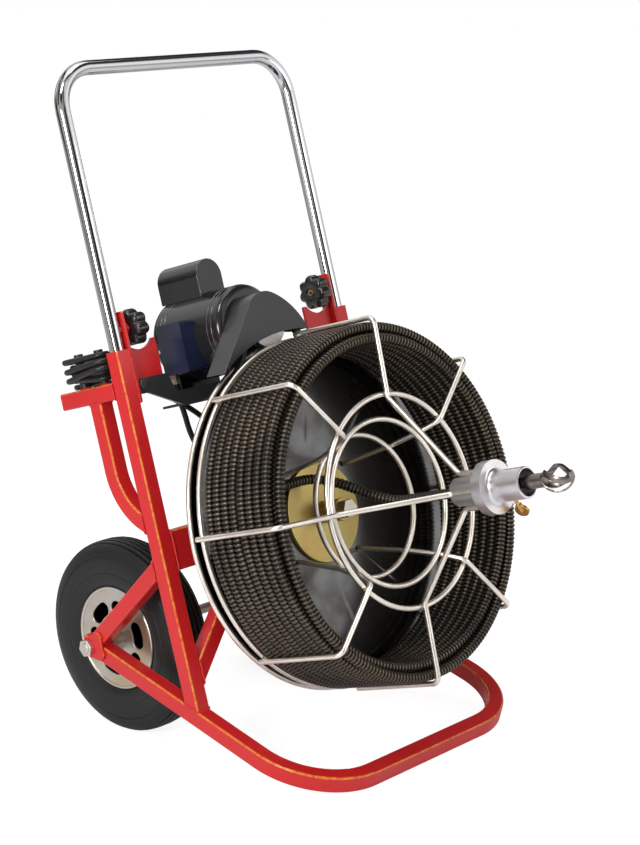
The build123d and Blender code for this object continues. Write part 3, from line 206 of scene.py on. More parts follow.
class StageSettings(bpy.types.PropertyGroup):
    """Camera and lights."""

    azimuth: angle("Azimuth", "Camera's side angle", -47.898)
    elevation: angle("Elevation", "How far the camera looks down", 12.060)
    roll: angle("Roll", "Camera's roll", -1.683)
    camera_place: FloatVectorProperty(
        name="Camera", description="Camera's place", size=3, unit="LENGTH",
        default=(-2.24476, -2.00235, 1.13504),
    )
    lens: FloatProperty(name="Lens", description="Focal length in millimetres", default=87.68)
    key: FloatProperty(name="Key light", description="Watts of the light from the left", default=52.0)
    top: FloatProperty(name="Top light", description="Watts of the wide light above", default=18.0)
    edge: FloatProperty(name="Edge light", description="Watts of the small lamp above", default=14.0)
    fill: FloatProperty(name="Fill light", description="Watts of the light from the front", default=20.0)
    sky: FloatProperty(name="Sky", description="Soft light from all round", default=0.42)


# Places

ACROSS = Vector((1.0, 0.0, 0.0))


def placing():
    """Settings of the leaning frame."""
    return bpy.context.scene.drain_placing


def up():
    """Direction up along the uprights."""
    lean = placing().lean
    return Vector((0.0, sin(lean), cos(lean)))


def fore():
    """Direction forward, square to the uprights."""
    lean = placing().lean
    return Vector((0.0, -cos(lean), sin(lean)))


def at(x, u, w):
    """Point from across, up-along-the-uprights and forward."""
    return Vector((x, placing().foot, 0.0)) + up() * u + fore() * w


def drum_point(turn_angle, radius, w):
    """Point by angle about the drum axis, radius and forward place."""
    return at(radius * cos(turn_angle), placing().drum_u + radius * sin(turn_angle), w)


# Shader and geometry trees


class Value:
    """Node output that takes part in Python arithmetic."""

    def __init__(self, graph, socket):
        self.graph = graph
        self.socket = socket

    def math(self, operation, first, second):
        """Output of a node that does one sum."""
        return self.graph.node("ShaderNodeMath", {"operation": operation}, {0: first, 1: second})

    def __add__(self, other):
        return self.math("ADD", self, other)

    def __sub__(self, other):
        return self.math("SUBTRACT", self, other)

    def __rsub__(self, other):
        return self.math("SUBTRACT", other, self)

    def __mul__(self, other):
        return self.math("MULTIPLY", self, other)

    def __truediv__(self, other):
        return self.math("DIVIDE", self, other)

    def __pow__(self, other):
        return self.math("POWER", self, other)

    def __gt__(self, other):
        return self.math("GREATER_THAN", self, other)


class Graph:
    """Node tree that is filled by calls of one method."""

    def __init__(self, tree):
        self.tree = tree
        self.tree.nodes.clear()

    def node(self, kind, settings=None, sockets=None, output=0):
        """Adds a node: its settings first, then the values or links of its sockets."""
        made = self.tree.nodes.new(kind)
        for key, value in (settings or {}).items():
            if key == "stops":
                ramp = made.color_ramp
                while len(ramp.elements) < len(value):
                    ramp.elements.new(1.0)
                for element, (place, tone) in zip(ramp.elements, value):
                    element.position = place
                    element.color = (*tone, 1.0)
            else:
                setattr(made, key, value)
        for key, value in (sockets or {}).items():
            socket = made.inputs[key]
            if isinstance(value, Value):
                self.tree.links.new(value.socket, socket)
            elif socket.type == "RGBA":
                socket.default_value = (*value, 1.0)
            else:
                socket.default_value = value
        return Value(self, made.outputs[output] if made.outputs else None)


class Finish(Graph):
    """Material with the textures that the finishes share."""

    def __init__(self, name):
        self.material = bpy.data.materials.new(name)
        self.material.use_nodes = True
        super().__init__(self.material.node_tree)
        self.place = self.node("ShaderNodeTexCoord", output="Object")

    def mark(self, name, output="Fac"):
        """Value that a piece carries on its mesh."""
        return self.node("ShaderNodeAttribute", {"attribute_name": name}, output=output)

    def cloud(self, scale, detail=3.0, rough=0.5, place=None):
        """Noise between 0 and 1."""
        return self.node(
            "ShaderNodeTexNoise",
            {},
            {"Vector": place or self.place, "Scale": scale, "Detail": detail, "Roughness": rough},
        )

    def stretch(self, value, low, high):
        """Value spread so that low becomes 0 and high becomes 1."""
        return self.node("ShaderNodeMapRange", {"clamp": True}, {0: value, 1: low, 2: high})

    def mix(self, factor, first, second):
        """Colour between two colours."""
        return self.node(
            "ShaderNodeMix", {"data_type": "RGBA"}, {0: factor, 6: first, 7: second}, output=2
        )

    def facing(self, side):
        """How squarely a face looks to a side."""
        normal = self.node("ShaderNodeTexCoord", output="Normal")
        return self.node(
            "ShaderNodeVectorMath", {"operation": "DOT_PRODUCT"}, {0: normal, 1: side}, output="Value"
        )

    def bump(self, height, strength, distance):
        """Normal from a height."""
        return self.node(
            "ShaderNodeBump", {}, {"Height": height, "Strength": strength, "Distance": distance}
        )

    def close(self, sockets):
        """Ends the material in one shader."""
        shader = self.node("ShaderNodeBsdfPrincipled", {}, sockets)
        self.node("ShaderNodeOutputMaterial", {}, {"Surface": shader})
        return self.material


def shade(tone, amount):
    """Colour made darker or lighter."""
    return tuple(min(1.0, part * amount) for part in tone)


# Side that the light falls on, whose edges get the painted highlight
LIT_EDGE_SIDE = (-0.55, -0.55, 0.63)


def painted(name, tone, glint, rough, edge_highlight, gloss=0.38):
    """Sprayed enamel with orange peel and light scuffs, and a painted highlight on the edges that face the
    light.
    """
    finish = Finish(name)
    cloud = finish.cloud(7.0)
    grain = finish.cloud(150.0, detail=5.0, rough=0.7)
    peel = finish.cloud(620.0, detail=1.0)
    edge = finish.mark("edge")
    base = finish.mix(cloud, shade(tone, 0.86), shade(tone, 1.08))
    scuff = finish.stretch(grain, 0.62, 0.74)
    base = finish.mix(scuff * 0.22, base, shade(glint, 0.7))
    lit_side = finish.stretch(finish.facing(LIT_EDGE_SIDE), 0.45, 0.75)
    # Painted highlight: small roundings that face the light turn to the glint colour
    base = finish.mix(edge * lit_side * finish.stretch(grain, 0.34, 0.60) * edge_highlight, base, glint)
    return finish.close({
        "Base Color": base,
        "Roughness": cloud * 0.10 + rough + scuff * 0.15,
        "Normal": finish.bump(peel * 0.7 + grain * 0.3, strength=0.10, distance=0.0006),
        "Coat Weight": 0.10,
        "Coat Roughness": 0.10,
        "Specular IOR Level": gloss,
    })


def plated(name, tone, tarnish, rough, brushed):
    """Bare or plated metal with handling marks and tarnish, a painted highlight on its small roundings and
    painted shade on the faces marked inside.
    """
    finish = Finish(name)
    cloud = finish.cloud(16.0, detail=4.0, rough=0.6)
    fleck = finish.cloud(260.0, detail=4.0, rough=0.7)
    edge = finish.mark("edge")
    base = finish.mix(finish.stretch(cloud, 0.38, 0.72), tone, tarnish)
    base = finish.mix(finish.stretch(fleck, 0.60, 0.75) * 0.5, base, shade(tarnish, 0.6))
    # Painted highlight: small roundings are made lighter
    base = finish.mix(edge * 0.5, base, shade(tone, 1.2))
    # Painted shade: faces marked inside the rim are made near black
    base = finish.mix(finish.mark("inside"), base, shade(tone, 0.01))
    return finish.close({
        "Base Color": base,
        "Metallic": 1.0,
        "Roughness": cloud * 0.14 + fleck * 0.08 + rough,
        "Normal": finish.bump(fleck, strength=brushed, distance=0.0004),
    })


def streaked(name, tone):
    """Chrome with long streaks along its tube: bright chrome between painted dark reflections."""
    finish = Finish(name)
    run = finish.mark("run", "Vector")
    band = finish.cloud(1.15, detail=2.0, rough=0.4, place=run)
    fleck = finish.cloud(210.0, detail=4.0, rough=0.75)
    dark = finish.stretch(band + fleck * 0.16, 0.56, 0.70)
    deep = finish.stretch(band + fleck * 0.10, 0.66, 0.78)
    # Painted reflection: the dark and the deep streaks darken the chrome's colour
    base = finish.mix(dark * 0.8, tone, shade(tone, 0.34))
    base = finish.mix(deep * 0.8, base, shade(tone, 0.07))
    return finish.close({
        "Base Color": base,
        "Metallic": 1.0,
        "Roughness": fleck * 0.10 + 0.05,
        "Normal": finish.bump(fleck, strength=0.03, distance=0.0004),
    })


def moulded(name, tone, rough, coat, glint):
    """Moulded plastic or smooth dark enamel with a painted highlight in patches along its edges."""
    finish = Finish(name)
    cloud = finish.cloud(11.0, detail=4.0)
    grain = finish.cloud(900.0, detail=2.0)
    edge_patches = finish.cloud(70.0, detail=5.0, rough=0.7)
    edge = finish.mark("edge")
    base = finish.mix(cloud, shade(tone, 0.7), shade(tone, 1.4))
    # Painted highlight: the glint colour in patches on the small roundings
    base = finish.mix(edge * finish.stretch(edge_patches, 0.35, 0.65) * 0.8, base, glint)
    return finish.close({
        "Base Color": base,
        "Roughness": cloud * 0.12 + edge_patches * 0.06 + rough,
        "Normal": finish.bump(grain, strength=0.08, distance=0.0003),
        "Coat Weight": coat,
        "Coat Roughness": 0.15,
    })


def rubbery(name, tone, dust, rough):
    """Rubber with a dull bloom of dust, and lighter on its small roundings."""
    finish = Finish(name)
    cloud = finish.cloud(14.0, detail=5.0, rough=0.6)
    grain = finish.cloud(700.0, detail=3.0, rough=0.6)
    bloom = finish.stretch(cloud, 0.45, 0.80)
    base = finish.mix(bloom * 0.55, tone, dust)
    # Lighter on the small roundings
    base = finish.mix(finish.mark("edge") * 0.25, base, shade(dust, 1.5))
    return finish.close({
        "Base Color": base,
        "Roughness": bloom * 0.15 + rough,
        "Normal": finish.bump(grain, strength=0.25, distance=0.0005),
        "Sheen Weight": 0.03,
        "Specular IOR Level": 0.36,
    })


def wound(name, crest_highlight):
    """Oiled spring wire: dark in the grooves, with a painted warm highlight on the crests."""
    finish = Finish(name)
    crest = finish.mark("crest")
    cloud = finish.cloud(9.0, detail=4.0)
    fleck = finish.cloud(330.0, detail=3.0, rough=0.7)
    # Painted highlight: the crests take a warm colour in patches
    bright = finish.stretch(crest, 0.80, 1.0) * finish.stretch(cloud + fleck * 0.3, 0.35, 0.75)
    base = finish.mix(bright, (0.010, 0.010, 0.011), crest_highlight)
    return finish.close({
        "Base Color": base,
        "Metallic": 0.75,
        "Roughness": fleck * 0.16 + 0.26,
        "Normal": finish.bump(fleck, strength=0.06, distance=0.0004),
    })


# Finish of each slot from the colour settings: after the tones come roughness,
# and then the strength of the painted edge highlight, brushing or coat
FINISHES = {
    "red_paint": lambda c: painted("red_enamel", c.red, c.glint, 0.26, 0.9),
    "black_paint": lambda c: painted("black_enamel", shade(c.black, 1.6), (0.16, 0.15, 0.14), 0.24, 0.6),
    "motor_black": lambda c: painted("motor_enamel", shade(c.black, 0.9), (0.14, 0.13, 0.12), 0.12, 0.6, 0.5),
    "post_paint": lambda c: painted("post_enamel", shade(c.black, 0.8), (0.12, 0.12, 0.12), 0.35, 0.5),
    "steel": lambda c: plated("bare_steel", (0.52, 0.52, 0.54), (0.30, 0.27, 0.24), 0.24, 0.06),
    "zinc_steel": lambda c: plated("zinc_plate", (0.66, 0.64, 0.60), (0.45, 0.40, 0.30), 0.26, 0.06),
    "core_steel": lambda c: plated("core_sheets", (0.25, 0.25, 0.26), (0.16, 0.14, 0.12), 0.40, 0.10),
    "bearing_steel": lambda c: plated("bearing_races", (0.60, 0.60, 0.62), (0.42, 0.41, 0.40), 0.18, 0.03),
    "capacitor_case": lambda c: plated("capacitor_can", (0.62, 0.62, 0.63), (0.44, 0.44, 0.44), 0.30, 0.05),
    "switch_case": lambda c: moulded("switch_moulding", c.navy, 0.16, 0.5, (0.28, 0.21, 0.10)),
    "switch_lever": lambda c: plated("switch_bat", (0.74, 0.74, 0.75), (0.50, 0.50, 0.50), 0.14, 0.03),
    "black_plastic": lambda c: moulded("knob_moulding", (0.008, 0.008, 0.009), 0.20, 0.4, (0.05, 0.05, 0.05)),
    "belt_rubber": lambda c: rubbery("belt_compound", (0.012, 0.012, 0.012), (0.045, 0.043, 0.040), 0.55),
    "cord_rubber": lambda c: rubbery("cord_jacket", (0.009, 0.009, 0.010), (0.024, 0.024, 0.025), 0.34),
    "tyre_rubber": lambda c: rubbery("tyre_compound", c.rubber, shade(c.rubber, 2.2), 0.46),
    "rim_silver": lambda c: plated("rim_paint", c.rim, (0.50, 0.40, 0.22), 0.30, 0.05),
    "chrome": lambda c: streaked("handle_chrome", c.chrome),
    "hub_zinc": lambda c: plated("yellow_zinc", c.zinc, (0.46, 0.30, 0.10), 0.28, 0.06),
    "plate_grey": lambda c: plated("plate_steel", c.plate, (0.10, 0.095, 0.085), 0.06, 0.03),
    "nickel_wire": lambda c: plated("wire_nickel", c.nickel, (0.66, 0.60, 0.54), 0.24, 0.03),
    "nose_aluminium": lambda c: plated("turned_aluminium", c.aluminium, (0.66, 0.63, 0.66), 0.20, 0.05),
    "cable_black": lambda c: wound("cable_wire", c.wire),
    "cutter_steel": lambda c: plated("cutter_steel", (0.30, 0.27, 0.25), (0.12, 0.10, 0.09), 0.18, 0.05),
    "brass": lambda c: plated("screw_brass", c.brass, (0.44, 0.22, 0.08), 0.22, 0.05),
}
made_finishes = {}


def finish_for(slot):
    """Material of a slot, made when it is first needed."""
    if slot not in made_finishes:
        made_finishes[slot] = FINISHES[slot](bpy.context.scene.drain_colours)
    return made_finishes[slot]


# Mesh helpers

# Points nearer than this are one, faces within FLAT are one plane, and edges
# sharper than CRISP are the ones that get rounded
MERGE = 2e-6
FLAT = radians(0.4)
CRISP = radians(40)
# Roundings up to this radius count as edges, which get a painted highlight
EDGE_RADIUS = 0.0036


def skin(mesh, rows, ring=False, caps=True):
    """Faces between rows of points, each of which is a closed loop."""
    loops = [[mesh.verts.new(point) for point in row] for row in rows]
    pairs = list(zip(loops, loops[1:]))
    if ring:
        pairs.append((loops[-1], loops[0]))
    for low, high in pairs:
        for here in range(len(low)):
            there = (here + 1) % len(low)
            mesh.faces.new((low[here], low[there], high[there], high[here]))
    if caps and not ring:
        mesh.faces.new(reversed(loops[0]))
        mesh.faces.new(loops[-1])
    return loops


def circle(middle, first, second, radius, points):
    """Loop of points round a middle."""
    turns = [2 * pi * step / points for step in range(points)]
    return [middle + (first * cos(turn) + second * sin(turn)) * radius for turn in turns]


def lathe(mesh, profile, origin, axis, first, points, ring=False):
    """Turned shape from a profile of radius and place along an axis."""
    second = axis.cross(first)
    rows = [circle(origin + axis * along, first, second, max(radius, 1e-5), points)
            for radius, along in profile]
    skin(mesh, rows, ring)


def mark_edges(mesh):
    """Marks the faces of small roundings, on which the finishes paint a highlight."""
    mesh.normal_update()
    layer = mesh.faces.layers.float.new("edge")
    for face in mesh.faces:
        longest = max(edge.calc_length() for edge in face.edges)
        turn = sum(
            edge.calc_face_angle(0.0) for edge in face.edges
            if len(edge.link_faces) == 2 and edge.is_convex and edge.calc_length() > longest / 2
        )
        if face.calc_area() / longest < EDGE_RADIUS * turn / 2:
            face[layer] = 1.0


def piece_from(mesh, name, body, slot, nodes=(), sharp=35.0, outward=True):
    """Ends a mesh as a piece on a body, in the finish of a slot."""
    bmesh.ops.remove_doubles(mesh, verts=mesh.verts, dist=MERGE)
    if outward:
        bmesh.ops.recalc_face_normals(mesh, faces=mesh.faces)
    mark_edges(mesh)
    data = bpy.data.meshes.new(name)
    mesh.to_mesh(data)
    mesh.free()
    data.shade_smooth()
    data.set_sharp_from_angle(angle=radians(sharp))
    return place_piece(weighted(data), name, body, slot, nodes)


def weighted(data):
    """Copy of a mesh whose large faces keep their own normals beside small roundings."""
    source = bpy.data.objects.new(data.name + "_plain", data)
    bpy.context.scene.collection.objects.link(source)
    modifier = source.modifiers.new("weigh", "WEIGHTED_NORMAL")
    modifier.keep_sharp = True
    bpy.context.view_layer.update()
    drawn = source.evaluated_get(bpy.context.evaluated_depsgraph_get())
    result = bpy.data.meshes.new_from_object(drawn)
    bpy.data.objects.remove(source)
    bpy.data.meshes.remove(data)
    return result


def place_piece(data, name, body, slot, nodes=()):
    """Object for a finished mesh, riding on its body."""
    data.materials.clear()
    data.materials.append(finish_for(slot))
    piece = bpy.data.objects.new(name, data)
    bpy.context.scene.collection.objects.link(piece)
    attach(piece, body)
    if nodes:
        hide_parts(*nodes)
    return piece


def smooth_copy(node, slot, soften=0.0, rounds=2):
    """Merged copy of a CAD node with softened edges, in the node's place."""
    source = frame["nodes"][node]
    mesh = bmesh.new()
    mesh.from_mesh(source.data)
    bmesh.ops.remove_doubles(mesh, verts=mesh.verts, dist=MERGE)
    bmesh.ops.dissolve_limit(
        mesh, angle_limit=FLAT, verts=mesh.verts, edges=mesh.edges, use_dissolve_boundaries=False
    )
    if soften:
        crisp = [edge for edge in mesh.edges
                 if len(edge.link_faces) == 2 and edge.is_convex and edge.calc_face_angle(0.0) > CRISP]
        bmesh.ops.bevel(
            mesh, geom=crisp, offset=soften, segments=rounds, profile=0.5, affect="EDGES",
            clamp_overlap=True,
        )
    name = node + "_dressed"
    return piece_from(mesh, name, source["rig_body"], slot, (node,), outward=False)


def tree_mesh(name, tree, source, inputs):
    """Plain mesh from a Geometry Nodes tree on a source object, which is then removed."""
    modifier = source.modifiers.new(name, "NODES")
    modifier.node_group = tree
    sockets = {item.name: item.identifier for item in tree.interface.items_tree if item.in_out == "INPUT"}
    for label, value in inputs.items():
        modifier[sockets[label]] = value
    bpy.context.view_layer.update()
    drawn = source.evaluated_get(bpy.context.evaluated_depsgraph_get())
    data = bpy.data.meshes.new_from_object(drawn)
    source.modifiers.remove(modifier)
    data.name = name
    bpy.data.objects.remove(source)
    return data


def new_tree(name, **inputs):
    """Geometry Nodes tree, and the values that come in by its named inputs."""
    tree = bpy.data.node_groups.new(name, "GeometryNodeTree")
    kinds = {"Geometry": "Geometry", **inputs, "Finish": "Material"}
    for label, kind in kinds.items():
        tree.interface.new_socket(label, in_out="INPUT", socket_type="NodeSocket" + kind)
    tree.interface.new_socket("Geometry", in_out="OUTPUT", socket_type="NodeSocketGeometry")
    graph = Graph(tree)
    return graph, [graph.node("NodeGroupInput", output=label) for label in kinds]


def end_tree(graph, geometry, material, smooth=True):
    """Ends a tree in plain faces with their material."""
    plain = graph.node("GeometryNodeRealizeInstances", {}, {0: geometry})
    if smooth:
        plain = graph.node("GeometryNodeSetShadeSmooth", {}, {0: plain})
    covered = graph.node("GeometryNodeSetMaterial", {}, {0: plain, 2: material})
    graph.node("NodeGroupOutput", {}, {0: covered})
    return graph.tree


def spline_object(name, points, kind="NURBS", cyclic=False, fineness=8):
    """Curve object with one or more splines through or along the points."""
    data = bpy.data.curves.new(name, "CURVE")
    data.dimensions = "3D"
    data.resolution_u = fineness
    for route in points:
        spline = data.splines.new(kind)
        spline.points.add(len(route) - 1)
        for place, point in zip(spline.points, route):
            place.co = (*point, 1.0)
        if kind == "NURBS":
            spline.order_u = 3
            spline.use_endpoint_u = True
        spline.use_cyclic_u = cyclic
    made = bpy.data.objects.new(name, data)
    bpy.context.scene.collection.objects.link(made)
    return made


# Power cord

# Route of the lead, as x, u and w
LEAD_ROUTE = (
    (-0.119, 0.575, -0.037), (-0.119, 0.553, -0.037), (-0.110, 0.528, -0.042), (-0.101, 0.502, -0.050),
    (-0.086, 0.477, -0.058), (-0.064, 0.457, -0.066), (-0.037, 0.447, -0.074), (-0.011, 0.451, -0.084),
    (0.004, 0.470, -0.094), (0.002, 0.494, -0.102), (-0.014, 0.517, -0.108), (-0.037, 0.538, -0.112),
    (-0.064, 0.558, -0.117), (-0.093, 0.576, -0.123), (-0.122, 0.590, -0.131), (-0.152, 0.599, -0.142),
    (-0.183, 0.603, -0.152), (-0.2115, 0.6023, -0.153), (-0.2295, 0.6023, -0.1345),
    (-0.2295, 0.6023, -0.109),
)
# Route of the tail that hangs from the hank
TAIL_ROUTE = (
    (-0.2198, 0.6131, -0.091), (-0.2198, 0.6131, -0.069), (-0.212, 0.602, -0.050),
    (-0.206, 0.580, -0.044), (-0.202, 0.556, -0.048),
)
TAIL_DROP = 0.025
# The hank: where it starts, its half turns up and down, its last fall, and
# the route points in half a turn
HANK_LOW = 0.6023
INNER_RUNS = 7
OUTER_RUNS = 4
LAST_FALL = 0.0088
CORNERS = 6
# The sleeve at the gland: rows, cover over the cord, taper and ribs
RELIEF_STEP = 0.0004
RELIEF_COVER = 0.0004
RELIEF_TAPER = 0.0022
RELIEF_RIBS = 7
RELIEF_RIB_DEPTH = 0.0007
RELIEF_RIBBED = (0.15, 0.95)
# The plug, as radius and place below its top
DOWN = Vector((0.0, 0.0, -1.0))
PLUG_NECK = (
    (0.0046, -0.0005), (0.0062, 0.0), (0.0066, 0.002), (0.0058, 0.0032), (0.0068, 0.0044), (0.0060, 0.0056),
    (0.0072, 0.0068), (0.0066, 0.0082), (0.0086, 0.0100), (0.0102, 0.0130),
)
PLUG_GRIP = ((0.0110, 0.0), (0.0102, 0.0010), (0.0102, 0.0018), (0.0112, 0.0026))
PLUG_GRIPS = 5
PLUG_GRIP_TOP = 0.015
PLUG_GRIP_STEP = 0.0032
PLUG_FACE = (
    (0.0118, 0.0325), (0.0126, 0.0350), (0.0130, 0.0365), (0.0130, 0.0388), (0.0124, 0.0400), (0.0, 0.0400),
)
EARTH_PIN = ((0.0024, 0.0395), (0.0024, 0.0555), (0.0019, 0.0573), (0.0009, 0.0580))
EARTH_PLACE = 0.00875
# A blade: place below the plug's top and share of its section there
BLADE_ROWS = ((0.0395, 1.0), (0.0560, 1.0), (0.0576, 0.8), (0.0580, 0.45))
BLADE_THICK = 0.0015
BLADE_WIDE = 0.0063
BLADE_SPREAD = 0.0127


def half_turn(sizes, rear, radius, u):
    """Route points of half a turn round one post."""
    middle = sizes.post_back if rear else sizes.post_front
    start = pi if rear else 0.0
    reach = radius / cos(pi / CORNERS / 2)
    turns = [start + pi * (step + 0.5) / CORNERS for step in range(CORNERS)]
    return [at(-placing().tube_x + reach * cos(turn), u, middle + reach * sin(turn)) for turn in turns]


def cord_route(sizes):
    """Control points of the whole cord: lead, hank and tail."""
    points = [at(*place) for place in LEAD_ROUTE]
    u = HANK_LOW
    for run in range(INNER_RUNS):
        u += sizes.pitch if run == INNER_RUNS - 1 else sizes.pitch / 2
        points += half_turn(sizes, run % 2 == 1, sizes.inner_bend, u)
    points += half_turn(sizes, True, sizes.outer_bend, u)
    for run in range(OUTER_RUNS):
        if run == 0:
            u -= sizes.pitch
        elif run == OUTER_RUNS - 1:
            u -= LAST_FALL
        else:
            u -= sizes.pitch / 2
        points += half_turn(sizes, run % 2 == 1, sizes.outer_bend, u)
    points += [at(*place) for place in TAIL_ROUTE]
    points.append(points[-1] + DOWN * TAIL_DROP)
    return points


def spline_points(curve):
    """Points of a bare curve's own line."""
    drawn = curve.evaluated_get(bpy.context.evaluated_depsgraph_get())
    data = bpy.data.meshes.new_from_object(drawn)
    points = [vertex.co.copy() for vertex in data.vertices]
    bpy.data.meshes.remove(data)
    return points


class DRAIN_OT_power_cord(bpy.types.Operator):
    """Power cord wound on its posts, with strain relief and plug"""

    bl_idname = "drain.power_cord"
    bl_label = "Power Cord"

    def execute(self, context):
        sizes = context.scene.drain_cord
        route = cord_route(sizes)
        cord = spline_object("power_cord", [route], fineness=6)
        line = spline_points(cord)
        cord.data.bevel_depth = sizes.diameter / 2
        cord.data.bevel_resolution = 4
        cord.data.use_fill_caps = True
        cord.data.materials.append(finish_for("cord_rubber"))
        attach(cord, "frame")
        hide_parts("cord_lead", "cord_hank", "cord_tail")
        relief = self.strain_relief(sizes, line)
        plug = self.plug(route[-1])
        blades = self.plug_blades(route[-1])
        gland = smooth_copy("cord_gland", "zinc_steel", soften=0.0006)
        smooth_copy("cord_posts", "post_paint", soften=0.0012, rounds=3)
        return {"FINISHED"}

    def strain_relief(self, sizes, line):
        """Tapered ribbed sleeve along the first stretch of the cord."""
        mesh = bmesh.new()
        rows = []
        gone = 0.0
        next_row = 0.0
        for here, there in zip(line, line[1:]):
            step = (there - here).length
            heading = (there - here).normalized()
            first = (ACROSS - heading * heading.x).normalized()
            second = heading.cross(first)
            while next_row <= gone + step and next_row < sizes.relief:
                part = next_row / sizes.relief
                radius = sizes.diameter / 2 + RELIEF_TAPER * (1 - part) + RELIEF_COVER
                if RELIEF_RIBBED[0] < part < RELIEF_RIBBED[1]:
                    radius += RELIEF_RIB_DEPTH * (0.5 + 0.5 * cos(2 * pi * part * RELIEF_RIBS))
                middle = here + heading * (next_row - gone)
                rows.append(circle(middle, first, second, radius, points=20))
                next_row += RELIEF_STEP
            gone += step
            if next_row >= sizes.relief:
                break
        skin(mesh, rows)
        return piece_from(mesh, "strain_relief", "frame", "cord_rubber")

    def plug(self, top):
        """Moulded plug body with finger grips."""
        mesh = bmesh.new()
        profile = list(PLUG_NECK)
        for grip in range(PLUG_GRIPS):
            low = PLUG_GRIP_TOP + grip * PLUG_GRIP_STEP
            profile += [(radius, low + along) for radius, along in PLUG_GRIP]
        profile += PLUG_FACE
        lathe(mesh, profile, top, DOWN, ACROSS, points=32)
        return piece_from(mesh, "plug_body", "frame", "cord_rubber", ("plug",))

    def plug_blades(self, top):
        """Two flat blades and an earth pin."""
        mesh = bmesh.new()
        front = Vector((0.0, -1.0, 0.0))
        for x in (-BLADE_SPREAD / 2, BLADE_SPREAD / 2):
            rows = []
            for along, part in BLADE_ROWS:
                middle = top + DOWN * along + ACROSS * x
                thick = ACROSS * BLADE_THICK / 2 * part
                wide = front * BLADE_WIDE / 2 * part
                rows.append([middle - thick - wide, middle + thick - wide,
                             middle + thick + wide, middle - thick + wide])
            skin(mesh, rows)
        lathe(mesh, EARTH_PIN, top + front * EARTH_PLACE, DOWN, ACROSS, points=16)
        return piece_from(mesh, "plug_blades", "frame", "steel")


# Tube frame

FRAME_NODES = (
    "left_upright", "right_upright", "base_loop", "rear_braces", "cross_member", "lower_braces",
    "rear_bars", "rest_tubes",
)
SHEET_NODES = ("axle_plates", "clamp_tabs", "motor_gussets")
MIRROR = Matrix.Scale(-1.0, 4, ACROSS)
# How far the beads stand off the uprights, clear of the handle inside them
BEAD_OUT = 0.0010
# Share of a tube's half side at which its corners start
CORNER = 0.82
# Where the tubes meet, mostly as heights up along the uprights
BRACE_TOP = 0.315
CROSS_HALF = 0.030
STRUT_FOOT = 0.1543
STRUT_TOP = 0.3076
STRUT_IN = 0.1533
BAR_U = 0.5846
REST_TOP = 0.5719
REST_W = -0.0733
REST_FOOT = 0.3851
REST_TURN = radians(58.92)
SEAT_RADIUS = 0.0288
POST_FOOT = 0.5975
POST_RADIUS = 0.0073
# Seams of a tab and of a gusset: their heights, and their forward places
TAB_SEAM = (0.562, 0.600, 0.640)
GUSSET_SEAM = (0.574, 0.596, 0.618)
GUSSET_SIDES = (-0.010, -0.015)
GUSSET_IN = 0.004
# How far a bead's line stands off the face beside it
SEAM_INSET = 0.0008
SEAT_LIFT = 0.0006
# Least and greatest scale of a drop in a bead, and the seed of their order
DROP_SCALES = (0.85, 1.1)
DROP_SEED = 4


def tube_end(middle, first, second):
    """Rounded loop of weld round a tube's end."""
    quarter = ((1, CORNER), (CORNER, 1))
    half = quarter + tuple((-a, b) for a, b in reversed(quarter))
    corners = half + tuple((-a, -b) for a, b in half)
    return [middle + first * a + second * b for a, b in corners]


def weld_loops(sizes):
    """Closed weld lines of the tube joints on the left side."""
    half = sizes.tube / 2
    side = -sizes.tube_x
    inner = side + half + BEAD_OUT
    rear = -sizes.tube - BEAD_OUT
    rail_up = Vector((0.0, -sin(sizes.rail_slope), cos(sizes.rail_slope)))
    rail_on = Vector((0.0, -cos(sizes.rail_slope), -sin(sizes.rail_slope)))
    axle = Vector((side, sizes.foot + sizes.axle_back, sizes.wheel_radius))
    rail_top = axle + rail_up * half
    foot = at(side, 0.0, -half)
    foot += up() * ((rail_top - foot).dot(rail_up) / up().dot(rail_up))
    brace_top = at(side, BRACE_TOP, rear)
    brace = (brace_top - axle).normalized()
    brace_foot = axle + brace * (half / brace.dot(rail_up))
    diagonal = half * sqrt(2.0)
    return [
        tube_end(foot, ACROSS * half, rail_on * (half / up().dot(rail_up))),
        tube_end(brace_foot, ACROSS * half, rail_on * (half / brace.dot(rail_up))),
        tube_end(brace_top, ACROSS * half, up() * (half / abs(brace.dot(fore())))),
        tube_end(at(inner, sizes.drum_u, -half), fore() * half, up() * CROSS_HALF),
        tube_end(at(inner, STRUT_FOOT, -half), fore() * half, up() * diagonal),
        tube_end(at(inner + STRUT_IN, STRUT_TOP, -half), fore() * half, ACROSS * diagonal),
        tube_end(at(side, BAR_U, rear), ACROSS * half, up() * half),
        tube_end(at(side, REST_TOP, REST_W), ACROSS * half, fore() * half),
        tube_end(at(side, REST_FOOT, rear), ACROSS * half, up() * (half / sin(REST_TURN))),
    ]


def weld_lines(sizes):
    """Open weld lines of the left tab and gusset."""
    inner = -sizes.tube_x + sizes.tube / 2
    lines = [[at(inner, u, w) for u in TAB_SEAM] for w in (-SEAM_INSET, SEAM_INSET - sizes.tube)]
    return lines + [[at(inner + GUSSET_IN, u, w) for u in GUSSET_SEAM] for w in GUSSET_SIDES]


